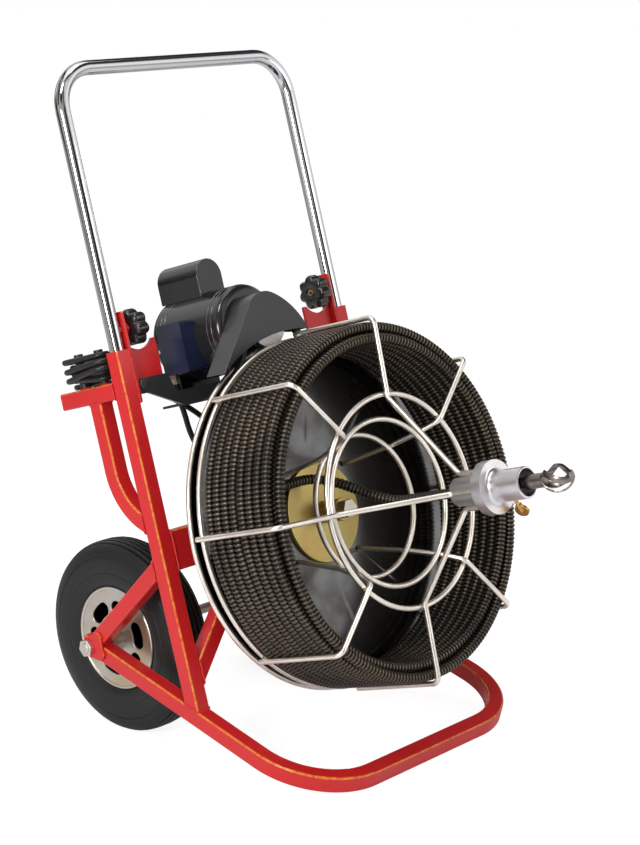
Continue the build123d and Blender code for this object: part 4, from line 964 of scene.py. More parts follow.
class DRAIN_OT_tube_frame(bpy.types.Operator):
    """Painted tube frame with its plates and weld beads"""

    bl_idname = "drain.tube_frame"
    bl_label = "Tube Frame"

    def execute(self, context):
        for node in FRAME_NODES:
            smooth_copy(node, "red_paint")
        for node in SHEET_NODES:
            smooth_copy(node, "red_paint", soften=0.0007)
        self.welds(context.scene.drain_placing, context.scene.drain_cord)
        return {"FINISHED"}

    def welds(self, sizes, cord):
        """Rippled beads along the joints, round the bearing seat and round the cord's posts."""
        tree = self.bead_tree()
        loops = weld_loops(sizes)
        loops += [[MIRROR @ point for point in loop] for loop in loops]
        for w in (SEAT_LIFT, -SEAT_LIFT - sizes.tube):
            loops.append(circle(at(0.0, sizes.drum_u, w), ACROSS, up(), SEAT_RADIUS, points=24))
        for w in (cord.post_front, cord.post_back):
            loops.append(circle(at(-sizes.tube_x, POST_FOOT, w), ACROSS, fore(), POST_RADIUS, points=12))
        lines = weld_lines(sizes)
        lines += [[MIRROR @ point for point in line] for line in lines]
        for name, routes, closed in (("joint_welds", loops, True), ("seam_welds", lines, False)):
            source = spline_object(name + "_lines", routes, "POLY", closed)
            inputs = {"Bead": sizes.bead, "Step": sizes.bead_step, "Finish": finish_for("red_paint")}
            data = tree_mesh(name, tree, source, inputs)
            place_piece(data, name, "frame", "red_paint")

    def bead_tree(self):
        """Round drops of slightly different sizes that overlap along a line."""
        graph, (lines, bead, step, material) = new_tree("weld_bead", Bead="Float", Step="Float")
        dots = graph.node("GeometryNodeResampleCurve", {"mode": "LENGTH"}, {0: lines, 3: step})
        drop = graph.node("GeometryNodeMeshUVSphere", {}, {0: 8, 1: 5, 2: bead})
        turn = graph.node(
            "FunctionNodeAlignRotationToVector", {"axis": "Z"}, {2: graph.node("GeometryNodeInputTangent")}
        )
        wobble = graph.node(
            "FunctionNodeRandomValue", {"data_type": "FLOAT"},
            {2: DROP_SCALES[0], 3: DROP_SCALES[1], 8: DROP_SEED}, output=1,
        )
        drops = graph.node("GeometryNodeInstanceOnPoints", {}, {0: dots, 2: drop, 5: turn, 6: wobble})
        return end_tree(graph, drops, material)


# Wheels

# Outer half of the tyre's section: distance from its middle, radius, and
# whether the tread swings there with the zigzag
TYRE_SECTION = (
    (0.0262, 0.0810, 0), (0.0288, 0.0838, 0), (0.0310, 0.0890, 0), (0.0320, 0.0950, 0), (0.0324, 0.1020, 0),
    (0.0325, 0.1032, 0), (0.0318, 0.1039, 0), (0.0318, 0.1045, 0), (0.0325, 0.1052, 0), (0.0325, 0.1130, 0),
    (0.0325, 0.1210, 0), (0.0320, 0.1272, 0), (0.0312, 0.1278, 0), (0.0310, 0.1286, 0), (0.0317, 0.1292, 0),
    (0.0308, 0.1340, 0), (0.0295, 0.1382, 0), (0.0275, 0.1424, 0), (0.0252, 0.1458, 0), (0.0234, 0.1476, 0),
    (0.0226, 0.1440, 0), (0.0208, 0.1440, 0), (0.0200, 0.1494, 0), (0.0178, 0.1505, 0), (0.0156, 0.1512, 1),
    (0.0148, 0.1462, 1), (0.0126, 0.1462, 1), (0.0118, 0.1517, 1), (0.0088, 0.1520, 0), (0.0060, 0.1521, 1),
    (0.0052, 0.1464, 1), (0.0032, 0.1464, 1), (0.0024, 0.1521, 1), (0.0008, 0.1521, 0),
)
# The hollow in the tyre, in the same terms
TYRE_HOLLOW = ((-0.015, 0.0812, 0), (-0.015, 0.112, 0), (0.015, 0.112, 0), (0.015, 0.0812, 0))
ZIGZAG_SWING = (0.0, 1.0, 0.0, -1.0)
# Middle of a rim's rolled lip, in from the rim's side and below the tyre's seat
LIP_IN = 0.0006
LIP_BELOW = 0.0022
LIP_POINTS = 10


class DRAIN_OT_wheels(bpy.types.Operator):
    """Grooved tyres on pressed rims, with the axle and its fasteners"""

    bl_idname = "drain.wheels"
    bl_label = "Wheels"

    def execute(self, context):
        sizes = context.scene.drain_wheel
        for side, sign in (("left", -1.0), ("right", 1.0)):
            self.tyre(sizes, side, sign)
            self.shade_inside(sizes, smooth_copy(side + "_rim", "rim_silver", soften=0.0009))
            self.rim_lips(sizes, side, sign)
        smooth_copy("axle", "zinc_steel", soften=0.0012)
        smooth_copy("axle_fasteners", "zinc_steel", soften=0.0010)
        return {"FINISHED"}

    def centre(self):
        """Point of the axle in the machine's middle."""
        sizes = placing()
        return Vector((0.0, sizes.foot + sizes.axle_back, sizes.wheel_radius))

    def tyre(self, sizes, side, sign):
        """Tyre with grooves round its tread."""
        mesh = bmesh.new()
        section = list(TYRE_SECTION)
        section += [(-x, radius, kind) for x, radius, kind in reversed(TYRE_SECTION)]
        section += TYRE_HOLLOW
        steps = sizes.swings * len(ZIGZAG_SWING)
        rows = []
        for step in range(steps):
            turn = 2 * pi * step / steps
            swing = ZIGZAG_SWING[step % len(ZIGZAG_SWING)]
            row = []
            for x, radius, kind in section:
                x += swing * sizes.zigzag * kind
                row.append(self.centre() + ACROSS * (sign * sizes.middle + x)
                           + Vector((0.0, cos(turn), sin(turn))) * radius)
            rows.append(row)
        skin(mesh, rows, ring=True)
        node = side + "_tyre"
        piece_from(mesh, node + "_dressed", side + "_wheel", "tyre_rubber", (node,), sharp=50.0)

    def shade_inside(self, sizes, rim):
        """Marks the faces inside a rim, which lie in the dark behind its holes."""
        inside = rim.data.attributes.new("inside", "FLOAT", "FACE")
        for face in rim.data.polygons:
            out = abs(face.center.x) - sizes.middle
            inside.data[face.index].value = float(
                sizes.back_plate - sizes.rim_half < out < sizes.rim_half - sizes.front_disc
            )

    def rim_lips(self, sizes, side, sign):
        """Rolled lips where the tyre meets the rim."""
        mesh = bmesh.new()
        for edge in (-1.0, 1.0):
            place = sign * sizes.middle + edge * (sizes.rim_half - LIP_IN)
            profile = []
            for step in range(LIP_POINTS):
                turn = 2 * pi * step / LIP_POINTS
                out = sizes.rim_radius - LIP_BELOW + sizes.lip * cos(turn)
                profile.append((out, place + sizes.lip * sin(turn)))
            lathe(mesh, profile, self.centre(), ACROSS, up(), points=72, ring=True)
        piece_from(mesh, side + "_rim_lips", side + "_wheel", "rim_silver")


# Push handle

# Steps along a leg, round a bend and across the bar, and how fast the streaks run
LEG_STEPS = 8
BEND_STEPS = 12
BAR_STEPS = 4
STREAK_PACE = 1.1


class DRAIN_OT_push_handle(bpy.types.Operator):
    """Chrome push handle"""

    bl_idname = "drain.push_handle"
    bl_label = "Push Handle"

    def execute(self, context):
        sizes = context.scene.drain_handle
        x = placing().tube_x
        w = -placing().tube / 2
        mesh = bmesh.new()
        run = mesh.verts.layers.float_vector.new("run")
        leg = sizes.high - sizes.bend - sizes.low
        stations = [(at(-x, sizes.low + leg * step / LEG_STEPS, w), up()) for step in range(LEG_STEPS + 1)]
        middle = at(-x + sizes.bend, sizes.high - sizes.bend, w)
        for step in range(1, BEND_STEPS + 1):
            turn = pi / 2 * step / BEND_STEPS
            place = middle + (up() * sin(turn) - ACROSS * cos(turn)) * sizes.bend
            stations.append((place, up() * cos(turn) + ACROSS * sin(turn)))
        flip = [(MIRROR @ place, -(MIRROR @ heading)) for place, heading in reversed(stations)]
        start, end = stations[-1][0], flip[0][0]
        bar = [step / BAR_STEPS for step in range(1, BAR_STEPS)]
        stations += [(start.lerp(end, part), ACROSS) for part in bar]
        stations += flip
        rows = [circle(place, fore(), heading.cross(fore()), sizes.radius, points=32)
                for place, heading in stations]
        loops = skin(mesh, rows)
        along = 0.0
        for row, loop in enumerate(loops):
            if row:
                along += (stations[row][0] - stations[row - 1][0]).length
            for step, vertex in enumerate(loop):
                turn = 2 * pi * step / len(loop)
                vertex[run] = Vector((cos(turn), sin(turn), along * STREAK_PACE))
        piece_from(mesh, "handle_dressed", "push_handle", "chrome", ("handle",))
        return {"FINISHED"}


# Knob's outline: share of its thickness, and share of its outer radius
KNOB_SECTION = (
    (0.092, 0.30), (0.083, 0.36), (0.0, 0.46), (0.0, 0.72), (0.025, 0.86), (0.1, 0.95), (0.233, 1.0),
    (0.767, 1.0), (0.9, 0.95), (0.975, 0.86), (1.0, 0.72), (1.0, 0.40), (1.0, 0.25),
)
KNOB_POINTS = 112
LOBE_FULLNESS = 0.6
# Shares of the outer radius between which the round face turns into the star
STAR_FROM = 0.4
STAR_TO = 0.9
# The insert in the knob's face, as radius and depth
KNOB_INSERT = (
    (0.0, 0.0030), (0.0030, 0.0030), (0.0034, 0.0012), (0.0048, 0.0010), (0.0052, 0.0016), (0.0052, 0.0040),
    (0.0, 0.0040),
)


class DRAIN_OT_clamp_knobs(bpy.types.Operator):
    """Star knobs that clamp the handle"""

    bl_idname = "drain.clamp_knobs"
    bl_label = "Clamp Knobs"

    def execute(self, context):
        sizes = context.scene.drain_handle
        for side, sign in (("left", -1.0), ("right", 1.0)):
            self.knob(sizes, side, sign)
            self.insert(sizes, side, sign)
            smooth_copy(side + "_clamp_screw", "zinc_steel", soften=0.0006)
        return {"FINISHED"}

    def knob(self, sizes, side, sign):
        """Lobed grip with rounded edges and a sunk face."""
        mesh = bmesh.new()
        thick = sizes.knob_outer - sizes.knob_inner
        rows = []
        for along, scale in KNOB_SECTION:
            row = []
            starred = min(1.0, max(0.0, (scale - STAR_FROM) / (STAR_TO - STAR_FROM)))
            place = at(sign * (sizes.knob_inner + along * thick), sizes.knob_u, -placing().tube / 2)
            for step in range(KNOB_POINTS):
                turn = 2 * pi * step / KNOB_POINTS
                lobe = (0.5 + 0.5 * cos(sizes.lobes * turn)) ** LOBE_FULLNESS
                star = sizes.knob_valley + (sizes.knob_radius - sizes.knob_valley) * lobe
                radius = scale * (star * starred + sizes.knob_valley * (1 - starred))
                row.append(place + (up() * cos(turn) + fore() * sin(turn)) * radius)
            rows.append(row)
        skin(mesh, rows)
        node = side + "_clamp_knob"
        piece_from(mesh, node + "_dressed", side + "_knob", "black_plastic", (node,), sharp=60.0)

    def insert(self, sizes, side, sign):
        """Metal insert in the knob's face."""
        mesh = bmesh.new()
        place = at(sign * sizes.knob_inner, sizes.knob_u, -placing().tube / 2)
        lathe(mesh, KNOB_INSERT, place, ACROSS * sign, up(), points=24)
        piece_from(mesh, side + "_knob_insert", side + "_knob", "brass")


# Motor

MOTOR_WALL = 0.003
# A rounded end of the shell or of a bell, as depth below the motor's radius
# and distance from the seam, and a swaged ring with its distance from there
ROUNDED_END = ((MOTOR_WALL, 0.0), (0.0012, 0.0), (0.0004, 0.0006), (0.0, 0.0014))
SWAGE = ((0.0, -0.0016), (0.0010, -0.0006), (0.0010, 0.0006), (0.0, 0.0016))
SWAGE_PLACE = 0.009
# Faces of the bells, as radius and distance from the motor's ends
REAR_FACE = (
    (0.0, 0.0012), (0.015, 0.0012), (0.0165, 0.0), (0.021, 0.0), (0.0225, 0.0022), (0.026, 0.0032),
    (0.046, 0.0026), (0.050, 0.0008), (0.053, 0.0006), (0.0575, 0.0028), (0.0620, 0.0072), (0.0644, 0.0114),
)
FRONT_FACE = ((0.0083, 0.0), (0.050, 0.0), (0.0555, 0.0006), (0.0608, 0.0026), (0.0640, 0.0056))
# Distances from there of the shoulder, and of the inside at its wall and at its middle
REAR_DEPTHS = (0.015, 0.016, 0.014)
FRONT_DEPTHS = (0.009, 0.012, 0.010)
# Ribs and bolts in rings on the rear bell, and how far they stand in from its face
BELL_RIBS = {"Ring": 0.0375, "Long": 0.0155, "Wide": 0.0026, "High": 0.0030}
RIBS_IN = 0.0028
THROUGH_BOLTS = {"Number": 4, "Ring": 0.0505, "Radius": 0.0042, "High": 0.0052}
BOLTS_IN = -0.0004
# The collar on the switch box, as radius and forward distance from its place
COLLAR_PLACE = (-0.113, 0.628, -0.046)
SWITCH_COLLAR = (
    (0.0048, 0.0004), (0.0086, 0.0004), (0.0090, -0.0002), (0.0090, -0.0014), (0.0082, -0.0022),
    (0.0074, -0.0024), (0.0072, -0.0040), (0.0062, -0.0046), (0.0058, -0.0042),
)


class DRAIN_OT_motor(bpy.types.Operator):
    """Motor with its bells, capacitor cover, switch box and base"""

    bl_idname = "drain.motor"
    bl_label = "Motor"

    def execute(self, context):
        sizes = context.scene.drain_motor
        self.shell(sizes)
        self.bells(sizes)
        smooth_copy("capacitor_cover", "motor_black", soften=0.0030, rounds=4)
        smooth_copy("switch_box", "switch_case", soften=0.0022, rounds=3)
        smooth_copy("switch_toggle", "switch_lever", soften=0.0004)
        smooth_copy("motor_base", "black_paint", soften=0.0008)
        smooth_copy("mounting_bolts", "black_paint", soften=0.0008)
        ribs = {"Number": sizes.fins, **BELL_RIBS}
        self.ringed(sizes, "bell_ribs", ring_tree("bell_rib"), "motor_black", RIBS_IN, ribs)
        bolts = bolt_tree("through_bolt")
        self.ringed(sizes, "through_bolts", bolts, "zinc_steel", BOLTS_IN, THROUGH_BOLTS)
        self.switch_collar()
        return {"FINISHED"}

    def origin(self, sizes):
        """Point of the motor axis in the plane of the uprights."""
        return at(sizes.x, sizes.u, 0.0)

    def shell(self, sizes):
        """Rolled shell with swaged rings at both ends."""
        mesh = bmesh.new()
        low, high, radius = sizes.seam_back, sizes.seam_front, sizes.radius
        profile = [(radius - depth, low + along) for depth, along in ROUNDED_END]
        for swage in (low + SWAGE_PLACE, high - SWAGE_PLACE):
            profile += [(radius - depth, swage + along) for depth, along in SWAGE]
        profile += [(radius - depth, high - along) for depth, along in reversed(ROUNDED_END)]
        lathe(mesh, profile, self.origin(sizes), fore(), ACROSS, points=96, ring=True)
        piece_from(mesh, "motor_shell_dressed", "frame", "motor_black", ("motor_shell",))

    def bells(self, sizes):
        """Cast end bells with rounded shoulders and bearing bosses."""
        bells = (
            ("motor_rear_bell", REAR_FACE, REAR_DEPTHS, sizes.back, sizes.seam_back, 1.0),
            ("motor_front_bell", FRONT_FACE, FRONT_DEPTHS, sizes.front, sizes.seam_front, -1.0),
        )
        for node, face, (shoulder, wall, middle), end, seam, sign in bells:
            bore = face[0][0]
            profile = [(radius, end + sign * along) for radius, along in face]
            profile.append((sizes.radius, end + sign * shoulder))
            profile += [(sizes.radius - depth, seam - sign * along) for depth, along in reversed(ROUNDED_END)]
            profile += [(sizes.radius - MOTOR_WALL, end + sign * wall), (bore, end + sign * middle)]
            mesh = bmesh.new()
            lathe(mesh, profile, self.origin(sizes), fore(), ACROSS, points=96, ring=bore > 0.0)
            piece_from(mesh, node + "_dressed", "frame", "motor_black", (node,))

    def ringed(self, sizes, name, tree, slot, inward, inputs):
        """Like pieces in a ring on the rear bell's face."""
        inputs = {**inputs, "Finish": finish_for(slot)}
        data = tree_mesh(name, tree, empty_object(name + "_seed"), inputs)
        data.transform(frame_matrix(self.origin(sizes) + fore() * (sizes.back + inward)))
        place_piece(data, name, "frame", slot)

    def switch_collar(self):
        """Collar round the switch lever."""
        mesh = bmesh.new()
        lathe(mesh, SWITCH_COLLAR, at(*COLLAR_PLACE), fore(), ACROSS, points=28, ring=True)
        piece_from(mesh, "switch_collar", "frame", "zinc_steel")


def empty_object(name):
    """Mesh object with nothing in it, for a tree to fill."""
    made = bpy.data.objects.new(name, bpy.data.meshes.new(name))
    bpy.context.scene.collection.objects.link(made)
    return made


def frame_matrix(origin):
    """Placing of a flat ring pattern square to the forward direction."""
    turn = Matrix((ACROSS, up(), fore())).transposed()
    return Matrix.Translation(origin) @ turn.to_4x4()


def ring_tree(name):
    """Rounded bars that stand round a ring, each along its radius."""
    graph, inputs = new_tree(name, Number="Int", Ring="Float", Long="Float", Wide="Float", High="Float")
    number, ring, long, wide, high, material = inputs[1:]
    bar = graph.node("GeometryNodeMeshUVSphere", {}, {0: 8, 1: 6, 2: 0.5})
    size = graph.node("ShaderNodeCombineXYZ", {}, {0: long, 1: wide, 2: high})
    bar = graph.node("GeometryNodeTransform", {}, {0: bar, 3: size})
    dots = graph.node("GeometryNodeMeshCircle", {}, {0: number, 1: ring})
    outward = graph.node("GeometryNodeInputPosition")
    turn = graph.node("FunctionNodeAlignRotationToVector", {"axis": "X", "pivot_axis": "Z"}, {2: outward})
    bars = graph.node("GeometryNodeInstanceOnPoints", {}, {0: dots, 2: bar, 5: turn})
    return end_tree(graph, bars, material)


def bolt_tree(name):
    """Hexagon heads round a ring."""
    graph, inputs = new_tree(name, Number="Int", Ring="Float", Radius="Float", High="Float")
    number, ring, radius, high, material = inputs[1:]
    head = graph.node("GeometryNodeMeshCylinder", {}, {0: 6, 3: radius, 4: high})
    washer = graph.node("GeometryNodeMeshCylinder", {}, {0: 20, 3: radius * 1.5, 4: high * 0.25})
    both = graph.node("GeometryNodeJoinGeometry", {}, {0: head})
    graph.tree.links.new(washer.socket, both.socket.node.inputs[0])
    dots = graph.node("GeometryNodeMeshCircle", {}, {0: number, 1: ring})
    heads = graph.node("GeometryNodeInstanceOnPoints", {}, {0: dots, 2: both})
    return end_tree(graph, heads, material, smooth=False)


# Belt drive


class DRAIN_OT_belt_drive(bpy.types.Operator):
    """Belt guard, belt and pulley"""

    bl_idname = "drain.belt_drive"
    bl_label = "Belt Drive"

    def execute(self, context):
        smooth_copy("belt_guard", "black_paint", soften=0.0022, rounds=4)
        smooth_copy("drive_belt", "belt_rubber", soften=0.0008)
        smooth_copy("motor_pulley", "steel", soften=0.0003)
        smooth_copy("motor_shaft", "steel", soften=0.0005)
        return {"FINISHED"}


# Drum


class DRAIN_OT_drum_cage(bpy.types.Operator):
    """Wire cage, back plate, hub and shaft of the drum"""

    bl_idname = "drain.drum_cage"
    bl_label = "Drum Cage"

    def execute(self, context):
        for node in ("rear_rings", "long_wires", "short_wires", "basket_rings"):
            smooth_copy(node, "nickel_wire")
        smooth_copy("back_plate", "plate_grey", soften=0.0006)
        smooth_copy("drum_hub", "hub_zinc", soften=0.0010)
        smooth_copy("drum_shaft", "zinc_steel", soften=0.0010)
        smooth_copy("bearing_housing", "red_paint", soften=0.0010)
        return {"FINISHED"}


# Drain cable

# Turns of the outer layer, of the climb to the inner one and of the whole coil,
# how far the climb bows forward, and the steps of its route
OUTER_TURNS = 8.0
CLIMB_TURNS = 0.5
CLIMB_BOW = 0.8
LAST_TURN = 16.25
SHORT_TURN = 0.002
COIL_START = radians(285.0)
CORNERS_PER_TURN = 24
ROWS_PER_RIB = 6.0
# The led-out end: where it starts and stops running straight across, its
# height over the drum axis, its forward place, and where it meets the axis
LED_START = -0.137
LED_STOP = -0.075
LED_RISE = 0.057
LED_W = 0.1158
LED_AXIS_W = 0.29


def coil_point(sizes, turn, bulge):
    """Control point of the wound cable after a number of turns."""
    turned = COIL_START - 2 * pi * turn
    climbed = min(1.0, max(0.0, (turn - OUTER_TURNS) / CLIMB_TURNS))
    radius = sizes.coil_outer + (sizes.coil_inner - sizes.coil_outer) * climbed * climbed * (3 - 2 * climbed)
    rows = min(turn, OUTER_TURNS)
    rows += CLIMB_TURNS * (climbed - climbed ** 2) + CLIMB_BOW * (climbed - climbed ** 2) ** 2
    rows -= max(0.0, turn - OUTER_TURNS - CLIMB_TURNS)
    return drum_point(turned, radius * bulge, sizes.coil_w + sizes.pitch * rows)


def coil_route(sizes, first, last):
    """Control points of a stretch of turns."""
    bulge = 1 / cos(pi / CORNERS_PER_TURN)
    number = int((last - first) * CORNERS_PER_TURN)
    corners = [first + (step + 0.5) / CORNERS_PER_TURN for step in range(number)]
    points = [coil_point(sizes, turn, bulge) for turn in corners]
    return [coil_point(sizes, first, 1.0)] + points + [coil_point(sizes, last, 1.0)]


def bend_points(start, start_dir, end, end_dir):
    """Two control points that lead from one direction into another."""
    run = end - start
    both = start_dir + end_dir
    spread = 1 - start_dir.dot(end_dir)
    along = run.dot(both)
    reach = (sqrt(along * along + 2 * spread * run.dot(run)) - along) / (2 * spread)
    return [start + start_dir * reach, end - end_dir * reach]


def rib_tree():
    """Tube of windings along a line."""
    graph, (line, radius, rib, groove, facets, material) = new_tree(
        "cable_ribs", Radius="Float", Rib="Float", Groove="Float", Facets="Int"
    )
    line = graph.node("GeometryNodeResampleCurve", {"mode": "LENGTH"}, {0: line, 3: rib / ROWS_PER_RIB})
    index = graph.node("GeometryNodeInputIndex")
    row = graph.node("ShaderNodeMath", {"operation": "MODULO"}, {0: index, 1: ROWS_PER_RIB})
    step = row / (ROWS_PER_RIB / 2) - 1.0
    hollow = 1.0 - (1.0 - step * step) ** 0.5
    line = graph.node(
        "GeometryNodeStoreNamedAttribute", {"data_type": "FLOAT", "domain": "POINT"},
        {0: line, 2: "crest", 3: 1.0 - hollow},
    )
    ring = graph.node("GeometryNodeCurvePrimitiveCircle", {"mode": "RADIUS"}, {0: facets, 4: 1.0})
    tube = graph.node(
        "GeometryNodeCurveToMesh", {}, {0: line, 1: ring, 2: radius - groove * hollow, 3: True}
    )
    return end_tree(graph, tube, material)


class DRAIN_OT_drain_cable(bpy.types.Operator):
    """Ribbed drain cable, wound in the cage and led out through the nozzle"""

    bl_idname = "drain.drain_cable"
    bl_label = "Drain Cable"

    def execute(self, context):
        sizes = context.scene.drain_cable
        tree = rib_tree()
        stretches = {
            "cable_outer_rear": coil_route(sizes, 0.0, OUTER_TURNS / 2),
            "cable_outer_front": coil_route(sizes, OUTER_TURNS / 2, OUTER_TURNS),
            "cable_inner_front": coil_route(sizes, OUTER_TURNS, OUTER_TURNS * 1.5),
            "cable_inner_rear": coil_route(sizes, OUTER_TURNS * 1.5, LAST_TURN)[:-1] + self.led_out(sizes),
        }
        start = stretches["cable_outer_rear"]
        start.insert(0, start[0] - (start[1] - start[0]).normalized() * 2 * sizes.radius)
        for name, route in stretches.items():
            self.ribbed(sizes, tree, name, route, "drum", "cable_coil")
        middle = placing().drum_u
        tip = [at(0.0, middle, sizes.joint_w + (sizes.tip_w - sizes.joint_w) * step / 4) for step in range(5)]
        self.ribbed(sizes, tree, "cable_slide", tip, "feeding_cable", "cable_end")
        return {"FINISHED"}

    def led_out(self, sizes):
        """Control points from the last turn to the nozzle."""
        here = coil_point(sizes, LAST_TURN, 1.0)
        heading = (here - coil_point(sizes, LAST_TURN - SHORT_TURN, 1.0)).normalized()
        middle = placing().drum_u
        across = at(LED_START, middle + LED_RISE, LED_W)
        out = at(LED_STOP, middle + LED_RISE, LED_W)
        axis = at(0.0, middle, LED_AXIS_W)
        return (bend_points(here, heading, across, ACROSS) + [(across + out) / 2]
                + bend_points(out, ACROSS, axis, fore()) + [axis, at(0.0, middle, sizes.joint_w)])

    def ribbed(self, sizes, tree, name, route, body, node):
        """One stretch of cable as a plain mesh."""
        source = spline_object(name + "_line", [route])
        data = tree_mesh(name, tree, source, {
            "Radius": sizes.radius, "Rib": sizes.rib, "Groove": sizes.groove, "Facets": sizes.facets,
            "Finish": finish_for("cable_black"),
        })
        place_piece(data, name, body, "cable_black", (node,))


# Nozzle


class DRAIN_OT_nozzle(bpy.types.Operator):
    """Nozzle sleeve, wing screw, coupling and bulb cutter"""

    bl_idname = "drain.nozzle"
    bl_label = "Nozzle"

    def execute(self, context):
        smooth_copy("nose_sleeve", "nose_aluminium", soften=0.0010, rounds=3)
        smooth_copy("thumb_screw", "brass", soften=0.0012, rounds=3)
        smooth_copy("cutter", "cutter_steel", soften=0.0005)
        return {"FINISHED"}


# Hidden parts

HIDDEN_NODES = {
    "stator_core": "core_steel",
    "rotor_core": "core_steel",
    "motor_bearings": "bearing_steel",
    "drum_bearings": "bearing_steel",
    "capacitor": "capacitor_case",
    "left_wheel_bushing": "bearing_steel",
    "right_wheel_bushing": "bearing_steel",
}


class DRAIN_OT_inner_parts(bpy.types.Operator):
    """Finishes of the parts inside the motor, the hubs and the bearing seat"""

    bl_idname = "drain.inner_parts"
    bl_label = "Inner Parts"

    def execute(self, context):
        for node, slot in HIDDEN_NODES.items():
            part = frame["nodes"][node]
            if not part.material_slots:
                part.data.materials.append(None)
            for place in part.material_slots:
                place.material = finish_for(slot)
        return {"FINISHED"}


# Stage

# Place and side of each soft light, and the point that they face
LIGHTS = {
    "key": ((-2.7, -0.75, 1.35), 0.75),
    "top": ((0.3, 0.4, 3.0), 1.8),
    "edge": ((-1.0, -0.2, 2.5), 0.5),
    "fill": ((1.3, -2.9, 1.3), 1.6),
}
LIT_POINT = Vector((0.0, 0.0, 0.5))
WHITE = (1.0, 1.0, 1.0)
# Tones of the panels that bright metal mirrors
PANEL_TONES = (
    (0.40, (0.03, 0.03, 0.035)), (0.47, (0.16, 0.13, 0.10)), (0.53, (0.62, 0.56, 0.48)), (0.60, WHITE),
)
FLOOR_SIZE = 9.0
FLOOR_GLOW = 1.4
FLOOR_FADE = 0.62


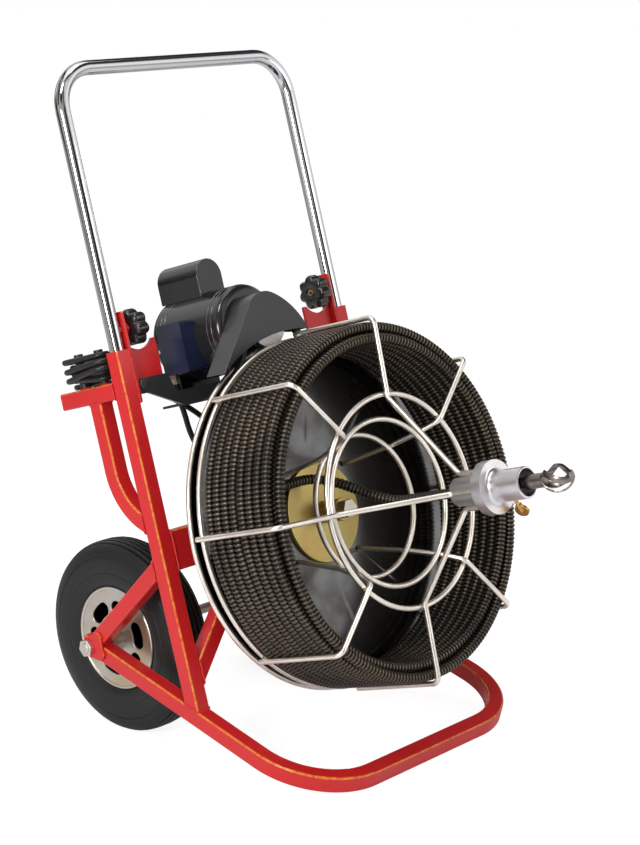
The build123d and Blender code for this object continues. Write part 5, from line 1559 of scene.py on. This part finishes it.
class DRAIN_OT_stage(bpy.types.Operator):
    """Floor, soft lights, white background and camera"""

    bl_idname = "drain.stage"
    bl_label = "Stage"

    def execute(self, context):
        settings = context.scene.drain_stage
        context.scene.view_settings.view_transform = "Standard"
        self.camera(context, settings)
        self.world(context, settings)
        self.floor(context)
        for name, (place, size) in LIGHTS.items():
            self.light(context, name + "_light", place, size, getattr(settings, name))
        return {"FINISHED"}

    def camera(self, context, settings):
        """Camera at the photograph's viewing angle."""
        turn, rise = settings.azimuth, settings.elevation
        back = Vector((sin(turn) * cos(rise), -cos(turn) * cos(rise), sin(rise)))
        right = (-back).cross(Vector((0.0, 0.0, 1.0))).normalized()
        above = right.cross(-back)
        rolled = right * cos(settings.roll) + above * sin(settings.roll)
        risen = above * cos(settings.roll) - right * sin(settings.roll)
        data = bpy.data.cameras.new("view")
        data.lens = settings.lens
        data.sensor_width = 36.0
        data.clip_end = 50.0
        view = bpy.data.objects.new("view", data)
        view.matrix_world = Matrix.Translation(settings.camera_place) @ Matrix(
            (rolled, risen, back)
        ).transposed().to_4x4()
        context.scene.collection.objects.link(view)
        context.scene.camera = view

    def world(self, context, settings):
        """White for the eye, soft light for dull faces, light and dark panels for bright ones."""
        world = bpy.data.worlds.new("studio")
        world.use_nodes = True
        context.scene.world = world
        graph = Graph(world.node_tree)
        seen = graph.node("ShaderNodeLightPath", output="Is Camera Ray")
        glossy = graph.node("ShaderNodeLightPath", output="Is Glossy Ray")
        clear = graph.node("ShaderNodeLightPath", output="Is Transmission Ray")
        heading = graph.node("ShaderNodeTexCoord", output="Generated")
        panel = graph.node(
            "ShaderNodeTexNoise", {}, {"Vector": heading, "Scale": 1.9, "Detail": 1.5, "Roughness": 0.5}
        )
        tone = graph.node("ShaderNodeValToRGB", {"stops": PANEL_TONES}, {"Fac": panel})
        white = graph.node("ShaderNodeBackground", {}, {"Color": WHITE, "Strength": 1.0})
        panels = graph.node("ShaderNodeBackground", {}, {"Color": tone, "Strength": 1.0})
        soft = graph.node("ShaderNodeBackground", {}, {"Color": WHITE, "Strength": settings.sky})
        both = graph.node("ShaderNodeMixShader", {}, {0: glossy, 1: soft, 2: panels})
        both = graph.node("ShaderNodeMixShader", {}, {0: (seen + clear) > 0.5, 1: both, 2: white})
        graph.node("ShaderNodeOutputWorld", {}, {"Surface": both})

    def floor(self, context):
        """Pale floor that fades to white for the eye and keeps the shadow."""
        mesh = bmesh.new()
        bmesh.ops.create_grid(mesh, x_segments=2, y_segments=2, size=FLOOR_SIZE)
        data = bpy.data.meshes.new("floor")
        mesh.to_mesh(data)
        mesh.free()
        floor = bpy.data.objects.new("floor", data)
        context.scene.collection.objects.link(floor)
        tone = tuple(context.scene.drain_colours.floor)
        finish = Finish("studio_floor")
        seen = finish.node("ShaderNodeLightPath", output="Is Camera Ray")
        matt = finish.node("ShaderNodeBsdfDiffuse", {}, {"Color": tone})
        white = finish.node("ShaderNodeEmission", {}, {"Color": WHITE, "Strength": FLOOR_GLOW})
        both = finish.node("ShaderNodeMixShader", {}, {0: seen * FLOOR_FADE, 1: matt, 2: white})
        finish.node("ShaderNodeOutputMaterial", {}, {"Surface": both})
        data.materials.append(finish.material)

    def light(self, context, name, place, size, power):
        """Square soft light that faces the machine."""
        data = bpy.data.lights.new(name, "AREA")
        data.size = size
        data.energy = power
        lamp = bpy.data.objects.new(name, data)
        lamp.location = place
        aim = LIT_POINT - Vector(place)
        lamp.rotation_euler = aim.to_track_quat("-Z", "Y").to_euler()
        context.scene.collection.objects.link(lamp)


# Panel and registration

GROUPS = {
    "drain_placing": PlacingSizes,
    "drain_wheel": WheelSizes,
    "drain_handle": HandleSizes,
    "drain_motor": MotorSizes,
    "drain_cable": CableSizes,
    "drain_cord": CordSizes,
    "drain_colours": FinishColours,
    "drain_stage": StageSettings,
}
OPERATORS = (
    DRAIN_OT_stage, DRAIN_OT_power_cord, DRAIN_OT_tube_frame, DRAIN_OT_wheels, DRAIN_OT_push_handle,
    DRAIN_OT_clamp_knobs, DRAIN_OT_motor, DRAIN_OT_belt_drive, DRAIN_OT_drum_cage, DRAIN_OT_drain_cable,
    DRAIN_OT_nozzle, DRAIN_OT_inner_parts,
)


class DRAIN_PT_dressing(bpy.types.Panel):
    """Settings and steps of the dressing"""

    bl_idname = "DRAIN_PT_dressing"
    bl_label = "Drain Machine"
    bl_space_type = "VIEW_3D"
    bl_region_type = "UI"
    bl_category = "Drain Machine"

    def draw(self, context):
        for label, group in GROUPS.items():
            box = self.layout.box()
            box.label(text=group.__name__)
            for name in group.__annotations__:
                box.prop(getattr(context.scene, label), name)
        for operator in OPERATORS:
            self.layout.operator(operator.bl_idname)


def register():
    """Adds the settings, the steps and the panel."""
    for label, group in GROUPS.items():
        bpy.utils.register_class(group)
        setattr(bpy.types.Scene, label, PointerProperty(type=group))
    for operator in OPERATORS:
        bpy.utils.register_class(operator)
    bpy.utils.register_class(DRAIN_PT_dressing)


def unregister():
    """Takes the panel, the steps and the settings away again."""
    bpy.utils.unregister_class(DRAIN_PT_dressing)
    for operator in reversed(OPERATORS):
        bpy.utils.unregister_class(operator)
    for label, group in reversed(GROUPS.items()):
        delattr(bpy.types.Scene, label)
        bpy.utils.unregister_class(group)


def main():
    """Dresses the machine step by step."""
    register()
    for operator in OPERATORS:
        family, step = operator.bl_idname.split(".")
        getattr(getattr(bpy.ops, family), step)()


if __name__ == "__main__":
    main()
